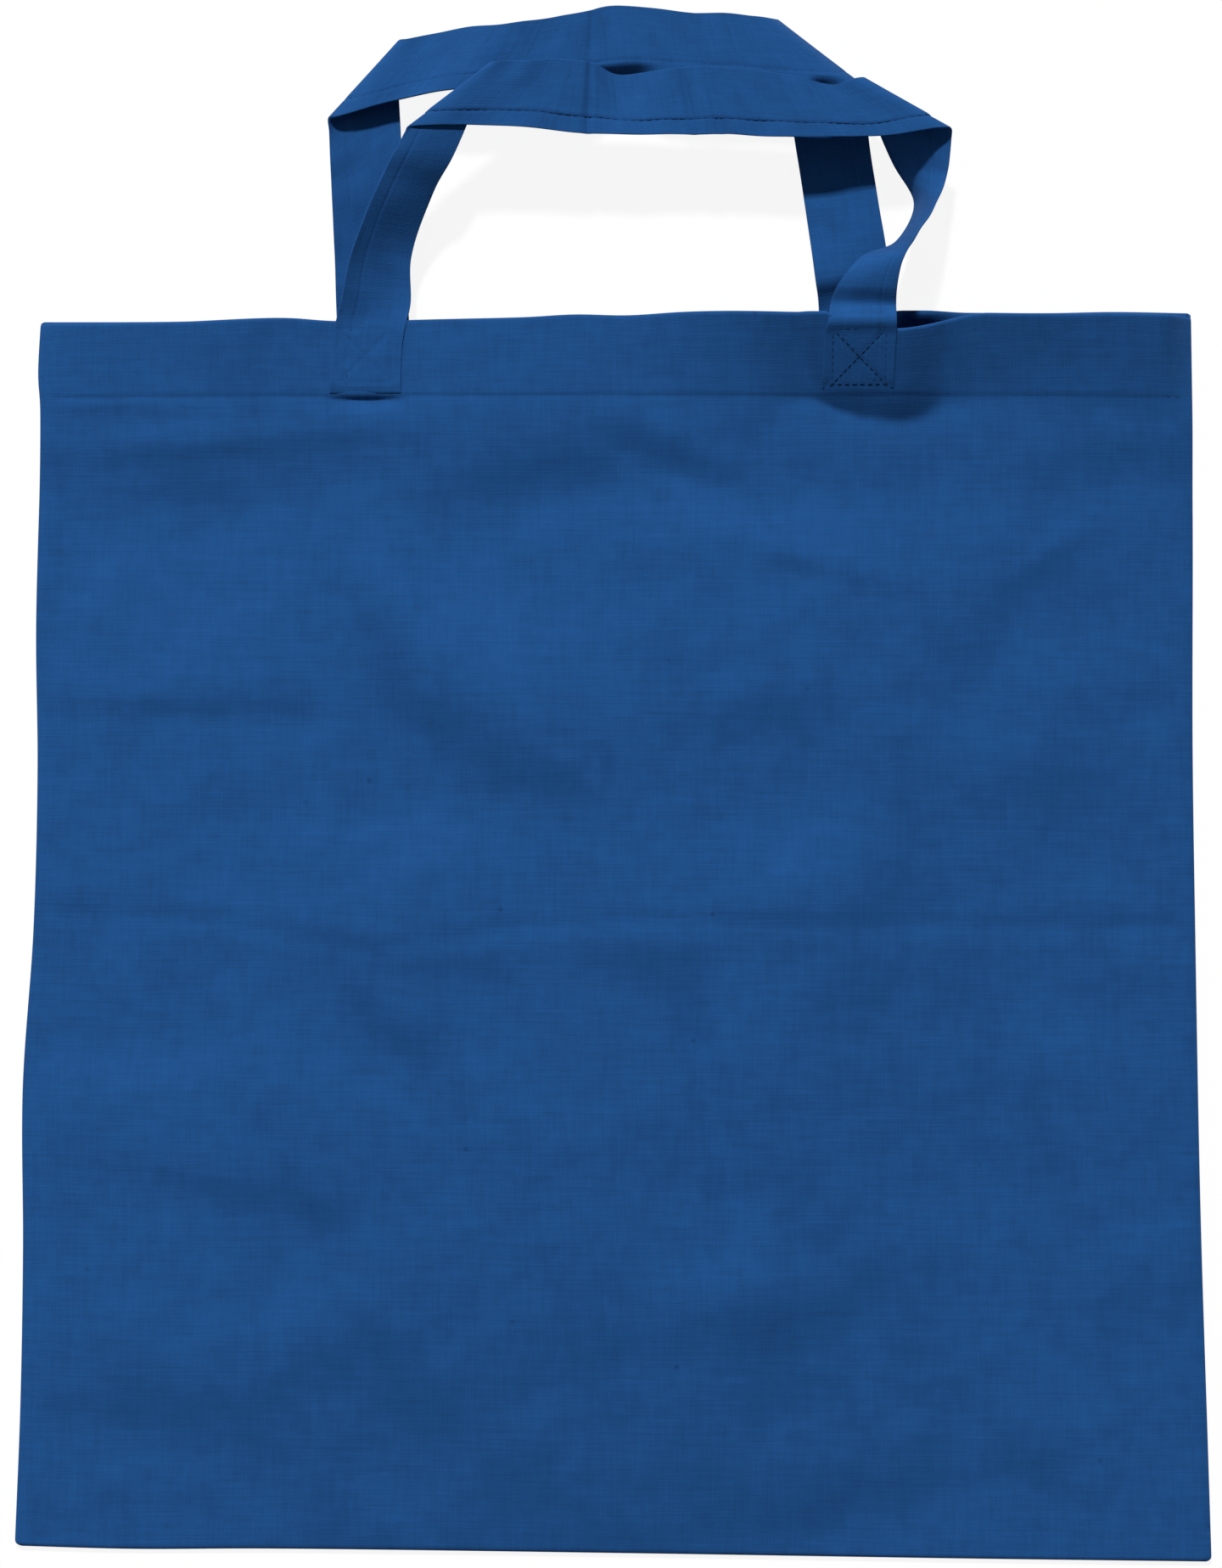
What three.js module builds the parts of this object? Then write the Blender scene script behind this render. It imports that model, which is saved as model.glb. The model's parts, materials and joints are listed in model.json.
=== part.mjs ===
// A plain cotton carrier bag with two short strap handles, lying flat on its back panel.
// Millimetres, +Z up. X runs across the bag and +Y from its bottom fold to its mouth and handles.
// The origin is the middle of the whole bag, on the surface it lies on.
import * as THREE from 'three';

// Cloth and sewing
const CLOTH_THICKNESS = 0.45;
const HEM_DEPTH = 25;
const HEM_THICKNESS = 3 * CLOTH_THICKNESS;
const SEAM_ALLOWANCE = 10;
const STRAP_THICKNESS = 1.6;
const STRAP_STITCH_SHARE = 0.24;
const THREAD_RADIUS = 0.22;
const SEWN_GAP = 0.3;
const TACK_SIZE = 18;
const TACK_THREAD_WIDTH = 0.8;
const TACK_THREAD_HEIGHT = 0.4;

// Outline of the bag as it lies
const MOUTH_HALF_WIDTH = 197;
const BASE_FLARE = 7.9;
const FLARE_START_Y = 40;
const FLARE_LENGTH = 300;
const MOUTH_SHIFT_X = 1;
const MOUTH_Y = [157.6, 161.2];
const BASE_Y = [-259.6, -266];
const BASE_ROUND = 1.5;

// Height of the two panels
const EDGE_HEIGHT = 2.2;
const PANEL_RISE = 14;
const MOUTH_RISE_SHARE = 0.85;
const MOUTH_RISE_END = 0.3;
const HEM_LIFT = 2.7;
const HEM_LIFT_START_Y = 95;
const HEM_LIFT_END_Y = 128;

// The front hem stands up round the right handle, and its edge draws back there
const RAISED_TAB_X = 86;
const RAISED_TAB_HALF_WIDTH = 15;
const RAISED_TAB_FALL = 17;
const RAISED_TAB_DEPTH = 32;
const RAISED_TAB_HEIGHT = 8;
const RAISED_TAB_DRAW = 6;

// Mesh steps
const PANEL_COLUMNS = 24;
const PANEL_ROWS = 20;
const HEM_STEP_SHARE = 0.0025;
const STRAP_STEPS = 4;
const THREAD_SIDES = 5;
const THREAD_STEP = 14;

const CLOTH_COLOUR = 0x20528d;
const THREAD_COLOUR = 0x1c467c;

const { lerp, smoothstep, clamp } = THREE.MathUtils;
const bell = (offset, width) => Math.exp(-((offset / width) ** 2));

function clothMaterial() {
  return new THREE.MeshStandardMaterial({ color: CLOTH_COLOUR, roughness: 0.95, metalness: 0 });
}

function threadMaterial() {
  return new THREE.MeshStandardMaterial({ color: THREAD_COLOUR, roughness: 0.8, metalness: 0 });
}

// Body outline: u runs from the left edge to the right edge
function sideX(u, y, inset = 0) {
  const flare = clamp((FLARE_START_Y - y) / FLARE_LENGTH, 0, 1);
  const half = MOUTH_HALF_WIDTH + BASE_FLARE * flare ** 1.5 - inset;
  return MOUTH_SHIFT_X * (1 - flare) + lerp(-half, half, u);
}

const mouthY = (u) => lerp(MOUTH_Y[0], MOUTH_Y[1], smoothstep(u, 0, 1));
const baseY = (u) => lerp(BASE_Y[0], BASE_Y[1], u);

function raisedShare(x) {
  return bell(Math.max(0, Math.abs(x - RAISED_TAB_X) - RAISED_TAB_HALF_WIDTH), RAISED_TAB_FALL);
}

// The hem's share of the way from mouth to base, and the two panels' rows along that way
const HEM_SHARE = HEM_DEPTH / (MOUTH_Y[0] - BASE_Y[0]);
const backY = (u, v, base = baseY(u)) => lerp(mouthY(u), base, v);

function frontY(u, v, base = baseY(u)) {
  const drawn = RAISED_TAB_DRAW * raisedShare(sideX(u, mouthY(u))) * Math.max(0, 1 - v / HEM_SHARE);
  return backY(u, v, base) - drawn;
}

// Underside of the back panel: flat, and lifted where it lies on the sewn ends of its handle
const backZ = (y) => HEM_LIFT * smoothstep(y, HEM_LIFT_START_Y, HEM_LIFT_END_Y);

// Outer face of the front panel
function frontZ(x, y) {
  const left = sideX(0, y);
  const u = clamp((x - left) / (sideX(1, y) - left), 0, 1);
  const v = clamp((mouthY(u) - y) / (mouthY(u) - baseY(u)), 0, 1);
  const acrossShare = 1 - Math.abs(2 * u - 1) ** 4;
  const mouthShare = lerp(MOUTH_RISE_SHARE, 1, smoothstep(v, 0, MOUTH_RISE_END));
  const baseShare = 1 - (Math.max(0, v - MOUTH_RISE_END) / (1 - MOUTH_RISE_END)) ** 4;
  const belowMouth = Math.max(0, mouthY(u) - y);
  const raised = RAISED_TAB_HEIGHT * raisedShare(x) * Math.max(0, 1 - belowMouth / RAISED_TAB_DEPTH);
  return backZ(y) + EDGE_HEIGHT + PANEL_RISE * acrossShare * mouthShare * baseShare + raised;
}

// Rows of the body, as shares of the way from mouth to base, with the step of the hem's inner edge
function bodyRows() {
  const panelStart = HEM_SHARE + HEM_STEP_SHARE;
  const rows = [0, HEM_SHARE / 3, (2 * HEM_SHARE) / 3, HEM_SHARE, panelStart];
  for (let i = 1; i <= PANEL_ROWS; i += 1) {
    rows.push(lerp(panelStart, 1, i / PANEL_ROWS));
  }
  return rows;
}

// One ring of the bag's wall: along the front from left to right, then back along the back panel
function bodyRing(v, inside, wall) {
  const inset = inside ? SEAM_ALLOWANCE : 0;
  const ring = [];
  for (let i = 0; i <= PANEL_COLUMNS; i += 1) {
    const u = i / PANEL_COLUMNS;
    const y = frontY(u, v, baseY(u) + (inside ? BASE_ROUND : 0));
    const x = sideX(u, y, inset);
    ring.push(new THREE.Vector3(x, y, frontZ(x, y) - (inside ? wall : 0)));
  }
  for (let i = PANEL_COLUMNS; i >= 0; i -= 1) {
    const u = i / PANEL_COLUMNS;
    const y = backY(u, v, baseY(u) + (inside ? BASE_ROUND : 0));
    ring.push(new THREE.Vector3(sideX(u, y, inset), y, backZ(y) + (inside ? wall : 0)));
  }
  return ring;
}

// A closed surface from vertices and triangles
function solid(vertices, triangles) {
  const geometry = new THREE.BufferGeometry();
  geometry.setAttribute('position', new THREE.Float32BufferAttribute(vertices.flatMap((p) => p.toArray()), 3));
  geometry.setIndex(triangles);
  geometry.computeVertexNormals();
  return geometry;
}

function quad(triangles, a, b, c, d) {
  triangles.push(a, b, c, a, c, d);
}

// One cloth folded at the base, sewn up both sides and hemmed round the mouth
function bodyGeometry() {
  const rows = bodyRows();
  const outer = rows.map((v) => bodyRing(v, false, 0));
  const inner = rows.map((v) => bodyRing(v, true, v <= HEM_SHARE ? HEM_THICKNESS : CLOTH_THICKNESS));
  const count = outer[0].length;
  const vertices = [...outer.flat(), ...inner.flat()];
  const innerStart = outer.length * count;
  const triangles = [];
  const last = rows.length - 1;
  for (let r = 0; r < last; r += 1) {
    for (let i = 0; i < count; i += 1) {
      const j = (i + 1) % count;
      const a = r * count;
      const b = a + count;
      quad(triangles, a + i, b + i, b + j, a + j);
      quad(triangles, innerStart + a + i, innerStart + a + j, innerStart + b + j, innerStart + b + i);
    }
  }
  for (let i = 0; i < count; i += 1) {
    const j = (i + 1) % count;
    quad(triangles, i, j, innerStart + j, innerStart + i);
  }
  const end = last * count;
  for (let i = 0; i < PANEL_COLUMNS; i += 1) {
    const k = count - 1 - i;
    quad(triangles, end + i, end + k, end + k - 1, end + i + 1);
    quad(triangles, innerStart + end + i, innerStart + end + i + 1, innerStart + end + k - 1, innerStart + end + k);
  }
  return solid(vertices, triangles);
}

// Handles: each is a strap given by its two edges, point by point from its left sewn end to its right one.
// The outer edge is the outer side of both legs and the lower edge of the run between them.
const STRAP_ON_HEM = SEWN_GAP + STRAP_THICKNESS / 2;
const onHem = (x, y) => [x, y, frontZ(x, y) + STRAP_ON_HEM];
const BACK_STRAP_Z = HEM_LIFT - SEWN_GAP - STRAP_THICKNESS / 2;
const FLOOR_STRAP_Z = 1;

const BACK_HANDLE = [
  { outer: [-93.2, 136, BACK_STRAP_Z], inner: [-68.8, 136, BACK_STRAP_Z] },
  { outer: [-93.4, 160, BACK_STRAP_Z], inner: [-69, 160, BACK_STRAP_Z] },
  { outer: [-94.4, 180, FLOOR_STRAP_Z], inner: [-70, 182, FLOOR_STRAP_Z] },
  { outer: [-95.8, 206, FLOOR_STRAP_Z], inner: [-71.3, 220, FLOOR_STRAP_Z] },
  { outer: [-96.5, 223.5, FLOOR_STRAP_Z], inner: [-72, 249.5, FLOOR_STRAP_Z] },
  { outer: [-96.8, 227.6, 3.4], inner: [-72.3, 254.6, 3.4] },
  { outer: [-94, 228, 5.8], inner: [-69.4, 254.8, 5.6] },
  { outer: [-73.7, 233.5, 11], inner: [-55, 257.8, 4] },
  { outer: [-49, 239.2, 15], inner: [-36, 260.2, 2.8] },
  { outer: [-22, 243.4, 16.6], inner: [-15, 263.4, 2.4] },
  { outer: [2, 246, 17], inner: [3, 265.8, 2.2] },
  { outer: [28, 244, 16.2], inner: [26, 263.9, 2.4] },
  { outer: [56, 240.6, 12], inner: [45, 262.3, 3.6] },
  { outer: [82, 238.4, 6.2], inner: [54, 261.2, 5.6] },
  { outer: [86.8, 238.2, 3.4], inner: [56.8, 260.2, 3.4] },
  { outer: [87, 234, FLOOR_STRAP_Z], inner: [56.9, 255.6, FLOOR_STRAP_Z] },
  { outer: [87, 221, FLOOR_STRAP_Z], inner: [62.2, 223, FLOOR_STRAP_Z] },
  { outer: [89.4, 202, FLOOR_STRAP_Z], inner: [65.8, 202, FLOOR_STRAP_Z] },
  { outer: [93.4, 180, FLOOR_STRAP_Z], inner: [69.2, 180, FLOOR_STRAP_Z] },
  { outer: [95, 160, BACK_STRAP_Z], inner: [70.6, 160, BACK_STRAP_Z] },
  { outer: [95.2, 137.6, BACK_STRAP_Z], inner: [70.8, 137.6, BACK_STRAP_Z] },
];

const FRONT_HANDLE = [
  { outer: onHem(-96.7, 135.4), inner: onHem(-72.3, 135.4) },
  { outer: onHem(-96.4, 146), inner: onHem(-72, 146) },
  { outer: onHem(-95.6, 156), inner: onHem(-71.2, 156) },
  { outer: [-93.6, 165, 18.2], inner: [-69.2, 164, 18] },
  { outer: [-88.4, 181, 23.4], inner: [-68.2, 180, 22.4] },
  { outer: [-79, 203, 29], inner: [-61.6, 201, 26] },
  { outer: [-70.6, 218.6, 32], inner: [-43, 238.6, 27] },
  { outer: [-70, 221.6, 34.4], inner: [-41.6, 244, 29] },
  { outer: [-66.8, 222.2, 36.6], inner: [-38.8, 244.6, 31] },
  { outer: [-42, 221, 35.4], inner: [-20, 243, 27] },
  { outer: [-8, 218.6, 32], inner: [-4.4, 240.6, 23.4] },
  { outer: [28, 219.2, 29], inner: [14, 239.6, 21.6] },
  { outer: [60, 218.4, 27], inner: [48, 239.2, 19.6] },
  { outer: [90, 219.6, 25.4], inner: [70, 238.8, 18.6] },
  { outer: [111, 221.4, 23.6], inner: [82, 238.8, 17.6] },
  { outer: [114, 221.6, 21], inner: [84.6, 238.6, 15] },
  { outer: [114.4, 218, 19], inner: [85.6, 234.6, 13] },
  { outer: [114, 207, 23], inner: [96, 213, 9.6] },
  { outer: [109, 195, 27], inner: [103, 199, 7.6] },
  { outer: [102.6, 184, 26.4], inner: [96.4, 184.4, 10] },
  { outer: [97, 172, 24], inner: [80.6, 173.4, 18.6] },
  { outer: onHem(96.2, 157), inner: onHem(73.4, 160) },
  { outer: onHem(96, 152), inner: onHem(72, 153) },
  { outer: onHem(95.8, 145), inner: onHem(71.6, 145) },
  { outer: onHem(95.6, 137.4), inner: onHem(71.4, 137.4) },
];

// Stations along a strap: its two edge points, the way it runs and the way its upper face looks
function strapStations(route) {
  const outer = new THREE.CatmullRomCurve3(route.map((p) => new THREE.Vector3(...p.outer)));
  const inner = new THREE.CatmullRomCurve3(route.map((p) => new THREE.Vector3(...p.inner)));
  const steps = (route.length - 1) * STRAP_STEPS;
  const stations = [];
  for (let i = 0; i <= steps; i += 1) {
    const t = i / steps;
    const a = outer.getPoint(t);
    const b = inner.getPoint(t);
    const along = outer.getTangent(t).add(inner.getTangent(t));
    const face = new THREE.Vector3().subVectors(b, a).cross(along).normalize();
    stations.push({ a, b, face });
  }
  return stations;
}

// Each station's ring runs across the upper face from the outer to the inner edge and back underneath
function strapGeometry(route) {
  const half = STRAP_THICKNESS / 2;
  const across = [0, STRAP_STITCH_SHARE, 0.5, 1 - STRAP_STITCH_SHARE, 1];
  const ring = [...across.map((share) => [share, half]), ...across.toReversed().map((share) => [share, -half])];
  const count = ring.length;
  const vertices = [];
  for (const { a, b, face } of strapStations(route)) {
    for (const [share, lift] of ring) {
      vertices.push(a.clone().lerp(b, share).addScaledVector(face, lift));
    }
  }
  const triangles = [];
  const end = vertices.length - count;
  for (let s = 0; s < end; s += count) {
    for (let i = 0; i < count; i += 1) {
      const j = (i + 1) % count;
      quad(triangles, s + i, s + j, s + count + j, s + count + i);
    }
  }
  for (let i = 0; i < across.length - 1; i += 1) {
    const k = count - 1 - i;
    quad(triangles, i, k, k - 1, i + 1);
    quad(triangles, end + i, end + i + 1, end + k - 1, end + k);
  }
  return solid(vertices, triangles);
}

// A sewing thread along a line of points
function threadGeometry(points, closed = false) {
  const curve = new THREE.CatmullRomCurve3(points, closed);
  const steps = closed ? points.length : points.length - 1;
  const rings = closed ? steps : steps + 1;
  const normal = new THREE.Vector3(0, 0, 1);
  const vertices = [];
  for (let i = 0; i < rings; i += 1) {
    const centre = curve.getPoint(i / steps);
    const tangent = curve.getTangent(i / steps);
    normal.addScaledVector(tangent, -normal.dot(tangent)).normalize();
    const binormal = new THREE.Vector3().crossVectors(tangent, normal);
    for (let k = 0; k < THREAD_SIDES; k += 1) {
      const angle = (2 * Math.PI * k) / THREAD_SIDES;
      const p = centre.clone().addScaledVector(normal, THREAD_RADIUS * Math.cos(angle));
      vertices.push(p.addScaledVector(binormal, THREAD_RADIUS * Math.sin(angle)));
    }
  }
  const triangles = [];
  for (let i = 0; i < steps; i += 1) {
    const a = i * THREAD_SIDES;
    const b = ((i + 1) % rings) * THREAD_SIDES;
    for (let k = 0; k < THREAD_SIDES; k += 1) {
      const j = (k + 1) % THREAD_SIDES;
      quad(triangles, a + k, a + j, b + j, b + k);
    }
  }
  if (!closed) {
    const end = (rings - 1) * THREAD_SIDES;
    for (let k = 1; k < THREAD_SIDES - 1; k += 1) {
      triangles.push(0, k + 1, k);
      triangles.push(end, end + k, end + k + 1);
    }
  }
  return solid(vertices, triangles);
}

// The hem's thread goes round the outside of the bag, just below the hem
function hemThread() {
  const lift = SEWN_GAP + THREAD_RADIUS;
  const front = [];
  const back = [];
  for (let i = 0; i <= PANEL_COLUMNS; i += 1) {
    const u = i / PANEL_COLUMNS;
    const yFront = frontY(u, HEM_SHARE);
    const x = sideX(u, yFront);
    front.push(new THREE.Vector3(x, yFront, frontZ(x, yFront) + lift));
    const yBack = backY(u, HEM_SHARE);
    back.unshift(new THREE.Vector3(sideX(u, yBack), yBack, backZ(yBack) - lift));
  }
  const turn = (u, side) => {
    const y = backY(u, HEM_SHARE);
    const x = sideX(u, y) + side * lift;
    const top = new THREE.Vector3(x, y, backZ(y) + EDGE_HEIGHT);
    return [top, new THREE.Vector3(x, y, backZ(y))];
  };
  const right = turn(1, 1);
  const left = turn(0, -1).reverse();
  return threadGeometry([...front, ...right, ...back, ...left], true);
}

// The side seams are closed inside the bag, along the turned-in allowances
function sideSeamThread(u) {
  const inset = SEAM_ALLOWANCE + SEWN_GAP + THREAD_RADIUS;
  const from = mouthY(u) - 1.5 * HEM_DEPTH;
  const to = baseY(u) + SEAM_ALLOWANCE;
  const steps = Math.round((from - to) / THREAD_STEP);
  const points = [];
  for (let i = 0; i <= steps; i += 1) {
    const y = lerp(from, to, i / steps);
    const z = backZ(y) + CLOTH_THICKNESS + SEWN_GAP + THREAD_RADIUS;
    points.push(new THREE.Vector3(sideX(u, y, inset), y, z));
  }
  return threadGeometry(points);
}

// The row of stitches that closes a strap, near its outer edge; side says which face it lies on
function strapThread(route, side, skip) {
  const lift = side * (STRAP_THICKNESS / 2 + SEWN_GAP + THREAD_RADIUS);
  const stations = strapStations(route).slice(skip, -skip);
  return threadGeometry(stations.map(
    ({ a, b, face }) => a.clone().lerp(b, STRAP_STITCH_SHARE).addScaledVector(face, lift),
  ));
}

// The square of stitches with a cross in it that holds a strap's end
function tackGeometry() {
  const half = TACK_SIZE / 2;
  const inner = half - TACK_THREAD_WIDTH;
  const slant = TACK_THREAD_WIDTH * Math.SQRT1_2;
  const outline = new THREE.Shape([
    new THREE.Vector2(-half, -half),
    new THREE.Vector2(half, -half),
    new THREE.Vector2(half, half),
    new THREE.Vector2(-half, half),
  ]);
  for (let i = 0; i < 4; i += 1) {
    const turn = (i * Math.PI) / 2;
    const corners = [[0, -slant], [inner - slant, -inner], [slant - inner, -inner]];
    const hole = corners.map(([x, y]) => new THREE.Vector2(x, y).rotateAround(new THREE.Vector2(), turn));
    outline.holes.push(new THREE.Path(hole));
  }
  return new THREE.ExtrudeGeometry(outline, { depth: TACK_THREAD_HEIGHT, bevelEnabled: false });
}

function clothPiece(name, geometry) {
  const piece = new THREE.Mesh(geometry, clothMaterial());
  piece.name = name;
  return piece;
}

function threadPiece(name, geometry) {
  const piece = new THREE.Mesh(geometry, threadMaterial());
  piece.name = name;
  return piece;
}

// A tack on the outside of the front hem, turned to lie along the strap's end
function frontTack(name, x) {
  const tack = threadPiece(name, tackGeometry());
  const y = MOUTH_Y[0] - HEM_DEPTH / 2;
  const reach = TACK_SIZE / 2;
  const slopeY = Math.atan2(frontZ(x, y + reach) - frontZ(x, y - reach), TACK_SIZE);
  const slopeX = Math.atan2(frontZ(x + reach, y) - frontZ(x - reach, y), TACK_SIZE);
  tack.rotation.set(slopeY, -slopeX, 0);
  tack.position.set(x, y, frontZ(x, y) + STRAP_ON_HEM + STRAP_THICKNESS / 2 + SEWN_GAP);
  return tack;
}

// A tack on the underside of the back handle's end
function backTack(name, x) {
  const tack = threadPiece(name, tackGeometry());
  const y = MOUTH_Y[0] - HEM_DEPTH / 2;
  tack.position.set(x, y, BACK_STRAP_Z - STRAP_THICKNESS / 2 - SEWN_GAP - TACK_THREAD_HEIGHT);
  return tack;
}

const FRONT_THREAD_SKIP = 3 * STRAP_STEPS;
const BACK_THREAD_SKIP = 2 * STRAP_STEPS;

const bag = new THREE.Group();
bag.name = 'cotton_carrier_bag';
bag.add(
  clothPiece('bag_body', bodyGeometry()),
  clothPiece('back_handle', strapGeometry(BACK_HANDLE)),
  clothPiece('front_handle', strapGeometry(FRONT_HANDLE)),
  threadPiece('hem_thread', hemThread()),
  threadPiece('left_side_seam_thread', sideSeamThread(0)),
  threadPiece('right_side_seam_thread', sideSeamThread(1)),
  threadPiece('back_handle_edge_thread', strapThread(BACK_HANDLE, 1, BACK_THREAD_SKIP)),
  threadPiece('front_handle_edge_thread', strapThread(FRONT_HANDLE, -1, FRONT_THREAD_SKIP)),
  frontTack('front_left_tack_thread', -84.4),
  frontTack('front_right_tack_thread', 83.6),
  backTack('back_left_tack_thread', -81.1),
  backTack('back_right_tack_thread', 83),
);

export default bag;
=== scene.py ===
# %% [markdown]
# # A cotton carrier bag laid flat
# The real bag is one length of dyed plain-weave cotton, folded at the base, sewn up both sides, hemmed
# round the mouth, and given two short straps of the same cloth as handles. It lies on its back on a
# white table and is seen from straight above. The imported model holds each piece's place and size, so
# this lesson loads it as a fixed frame and then replaces every plain solid with modelled cloth or thread.

# %% Load the frame
import json
import math
from collections import namedtuple
import bpy
import numpy as np
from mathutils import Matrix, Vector

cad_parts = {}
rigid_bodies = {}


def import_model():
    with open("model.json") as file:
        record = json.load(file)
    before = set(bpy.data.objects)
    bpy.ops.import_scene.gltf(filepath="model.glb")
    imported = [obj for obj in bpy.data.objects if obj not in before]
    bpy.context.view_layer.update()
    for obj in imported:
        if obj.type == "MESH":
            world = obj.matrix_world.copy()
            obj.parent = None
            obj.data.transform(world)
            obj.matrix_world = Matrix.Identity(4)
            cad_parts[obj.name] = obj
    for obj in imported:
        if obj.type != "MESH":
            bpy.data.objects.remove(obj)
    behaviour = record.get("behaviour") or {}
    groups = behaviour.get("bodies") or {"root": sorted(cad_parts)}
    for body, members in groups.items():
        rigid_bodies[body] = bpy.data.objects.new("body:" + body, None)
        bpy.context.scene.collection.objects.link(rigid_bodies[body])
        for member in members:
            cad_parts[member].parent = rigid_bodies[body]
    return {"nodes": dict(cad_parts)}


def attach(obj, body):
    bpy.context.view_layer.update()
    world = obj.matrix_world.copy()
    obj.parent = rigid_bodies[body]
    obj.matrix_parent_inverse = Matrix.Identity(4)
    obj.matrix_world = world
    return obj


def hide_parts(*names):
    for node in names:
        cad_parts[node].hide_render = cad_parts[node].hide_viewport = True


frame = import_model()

MM = 0.001
scene = bpy.context.scene
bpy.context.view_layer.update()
print("frame nodes:", len(frame["nodes"]))

# %% [markdown]
# ## Camera
# The photograph looks straight down with no visible perspective, so the camera hangs high above the bag
# and uses a long lens. A frame height measured at the bag's own level sets the focal length, which keeps
# the bag the right size in the picture however high the camera hangs.

# %% Camera straight above the bag
CAMERA_HEIGHT = 1.8
CAMERA_SHIFT = (-0.0006, -0.0002)
FRAME_HEIGHT = 0.5369
BAG_LEVEL = 0.006
SENSOR_SIZE = 36.0

camera_data = bpy.data.cameras.new("camera")
camera_data.sensor_width = SENSOR_SIZE
camera_data.lens = SENSOR_SIZE * (CAMERA_HEIGHT - BAG_LEVEL) / FRAME_HEIGHT
camera = bpy.data.objects.new("camera", camera_data)
camera.location = (*CAMERA_SHIFT, CAMERA_HEIGHT)
scene.collection.objects.link(camera)
scene.camera = camera
print("lens:", round(camera_data.lens, 1), "mm")

# %% [markdown]
# ## Studio light
# Folds in dark cloth only show if one light rakes across them. The photograph has a fairly small light
# beyond the bag's mouth, halfway up the sky, and weak light from everywhere else. One area lamp gives
# the key, a wide weak one fills from the left, and the world lifts the shadows. Together they add up
# to about one, so a colour renders roughly as it is written.

# %% Lamps
KEY_SHARE = 0.835
FILL_SHARE = 0.06
WORLD_SHARE = 0.105


def studio_lamp(name, azimuth, elevation, distance, size, share):
    """An area lamp aimed at the bag; share is the part of a full exposure it gives to a level surface."""
    turn = math.radians(azimuth)
    lift = math.radians(elevation)
    data = bpy.data.lights.new(name, "AREA")
    data.size = size
    data.energy = share * math.pi**2 * distance**2 / math.sin(lift)
    lamp = bpy.data.objects.new(name, data)
    toward = Vector((math.sin(turn) * math.cos(lift), math.cos(turn) * math.cos(lift), math.sin(lift)))
    lamp.location = toward * distance
    lamp.rotation_euler = toward.to_track_quat("Z", "Y").to_euler()
    scene.collection.objects.link(lamp)


studio_lamp("key_lamp", azimuth=-8, elevation=46, distance=12, size=0.8, share=KEY_SHARE)
studio_lamp("left_fill_lamp", azimuth=-80, elevation=20, distance=2.0, size=1.0, share=FILL_SHARE)
scene.view_settings.view_transform = "Standard"
print("lamps:", [lamp.name for lamp in scene.objects if lamp.type == "LIGHT"])

# %% [markdown]
# ## Shader maths
# Node trees are easier to read as sums than as boxes. The small class below wraps one number socket and
# turns each Python operator into a Math node, and one method of a node tree adds any other kind of node.

# %% A finish and its values
class Value:
    """One socket of a node tree. Arithmetic on it adds Math nodes."""

    def __init__(self, nodes, socket):
        self.nodes = nodes
        self.socket = socket

    def math(self, operation, *terms):
        return self.nodes.node("ShaderNodeMath", {"operation": operation}, dict(enumerate(terms)))

    def __add__(self, other):
        return self.math("ADD", self, other)

    def __radd__(self, other):
        return self.math("ADD", other, self)

    def __sub__(self, other):
        return self.math("SUBTRACT", self, other)

    def __rsub__(self, other):
        return self.math("SUBTRACT", other, self)

    def __mul__(self, other):
        return self.math("MULTIPLY", self, other)

    def __rmul__(self, other):
        return self.math("MULTIPLY", other, self)

    def floor(self):
        return self.math("FLOOR", self)

    def fraction(self):
        return self.math("FRACT", self)

    def sine(self):
        return self.math("SINE", self)

    def highest(self, other):
        return self.math("MAXIMUM", self, other)


class Nodes:
    """A node tree in the making."""

    def __init__(self, tree):
        self.tree = tree
        self.tree.nodes.clear()

    def node(self, kind, settings, sockets, output=0):
        """Adds a node, sets it up, feeds its sockets and returns one of its outputs."""
        made = self.tree.nodes.new(kind)
        for name, value in settings.items():
            setattr(made, name, value)
        for key, value in sockets.items():
            if isinstance(value, Value):
                self.tree.links.new(value.socket, made.inputs[key])
            else:
                made.inputs[key].default_value = value
        return Value(self, made.outputs[output]) if len(made.outputs) else None


def finish_of(owner):
    """The empty node tree of a material or a world."""
    owner.use_nodes = True
    return Nodes(owner.node_tree)


def linear(red, green, blue):
    """A colour read off a screen, as the linear values that Blender renders with."""
    levels = [level / 255 for level in (red, green, blue)]
    return [v / 12.92 if v <= 0.04045 else ((v + 0.055) / 1.055) ** 2.4 for v in levels] + [1.0]


print("a mid grey of 128 is", round(linear(128, 128, 128)[0], 3), "in linear light")

# %% [markdown]
# ## World and table
# The table is white paper in the photograph, with no edge and only a trace of shadow. A floor lit by the
# lamps alone would turn grey, so for rays that show it directly or by reflection it also glows: lit
# paper reaches white, and shaded paper stays softly grey. The diffuse rays that shade the cloth leave
# that glow out.

# %% White surroundings
WHITE = (1, 1, 1, 1)
PAPER_GREY = 0.7
PAPER_GLOW = 0.9
PAPER_SHADE = 0.1


def seen_rays(finish):
    """One for rays that show the surroundings directly, by reflection or through glass."""
    shares = [finish.node("ShaderNodeLightPath", {}, {}, name)
              for name in ("Is Camera Ray", "Is Glossy Ray", "Is Transmission Ray")]
    return shares[0].highest(shares[1].highest(shares[2]))


world = bpy.data.worlds.new("studio")
scene.world = world
sky = finish_of(world)
room_light = sky.node("ShaderNodeBackground", {}, {"Color": WHITE, "Strength": WORLD_SHARE})
white_room = sky.node("ShaderNodeBackground", {}, {"Color": WHITE, "Strength": 1.0})
either_room = sky.node("ShaderNodeMixShader", {}, {0: seen_rays(sky), 1: room_light, 2: white_room})
sky.node("ShaderNodeOutputWorld", {}, {"Surface": either_room})

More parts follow.
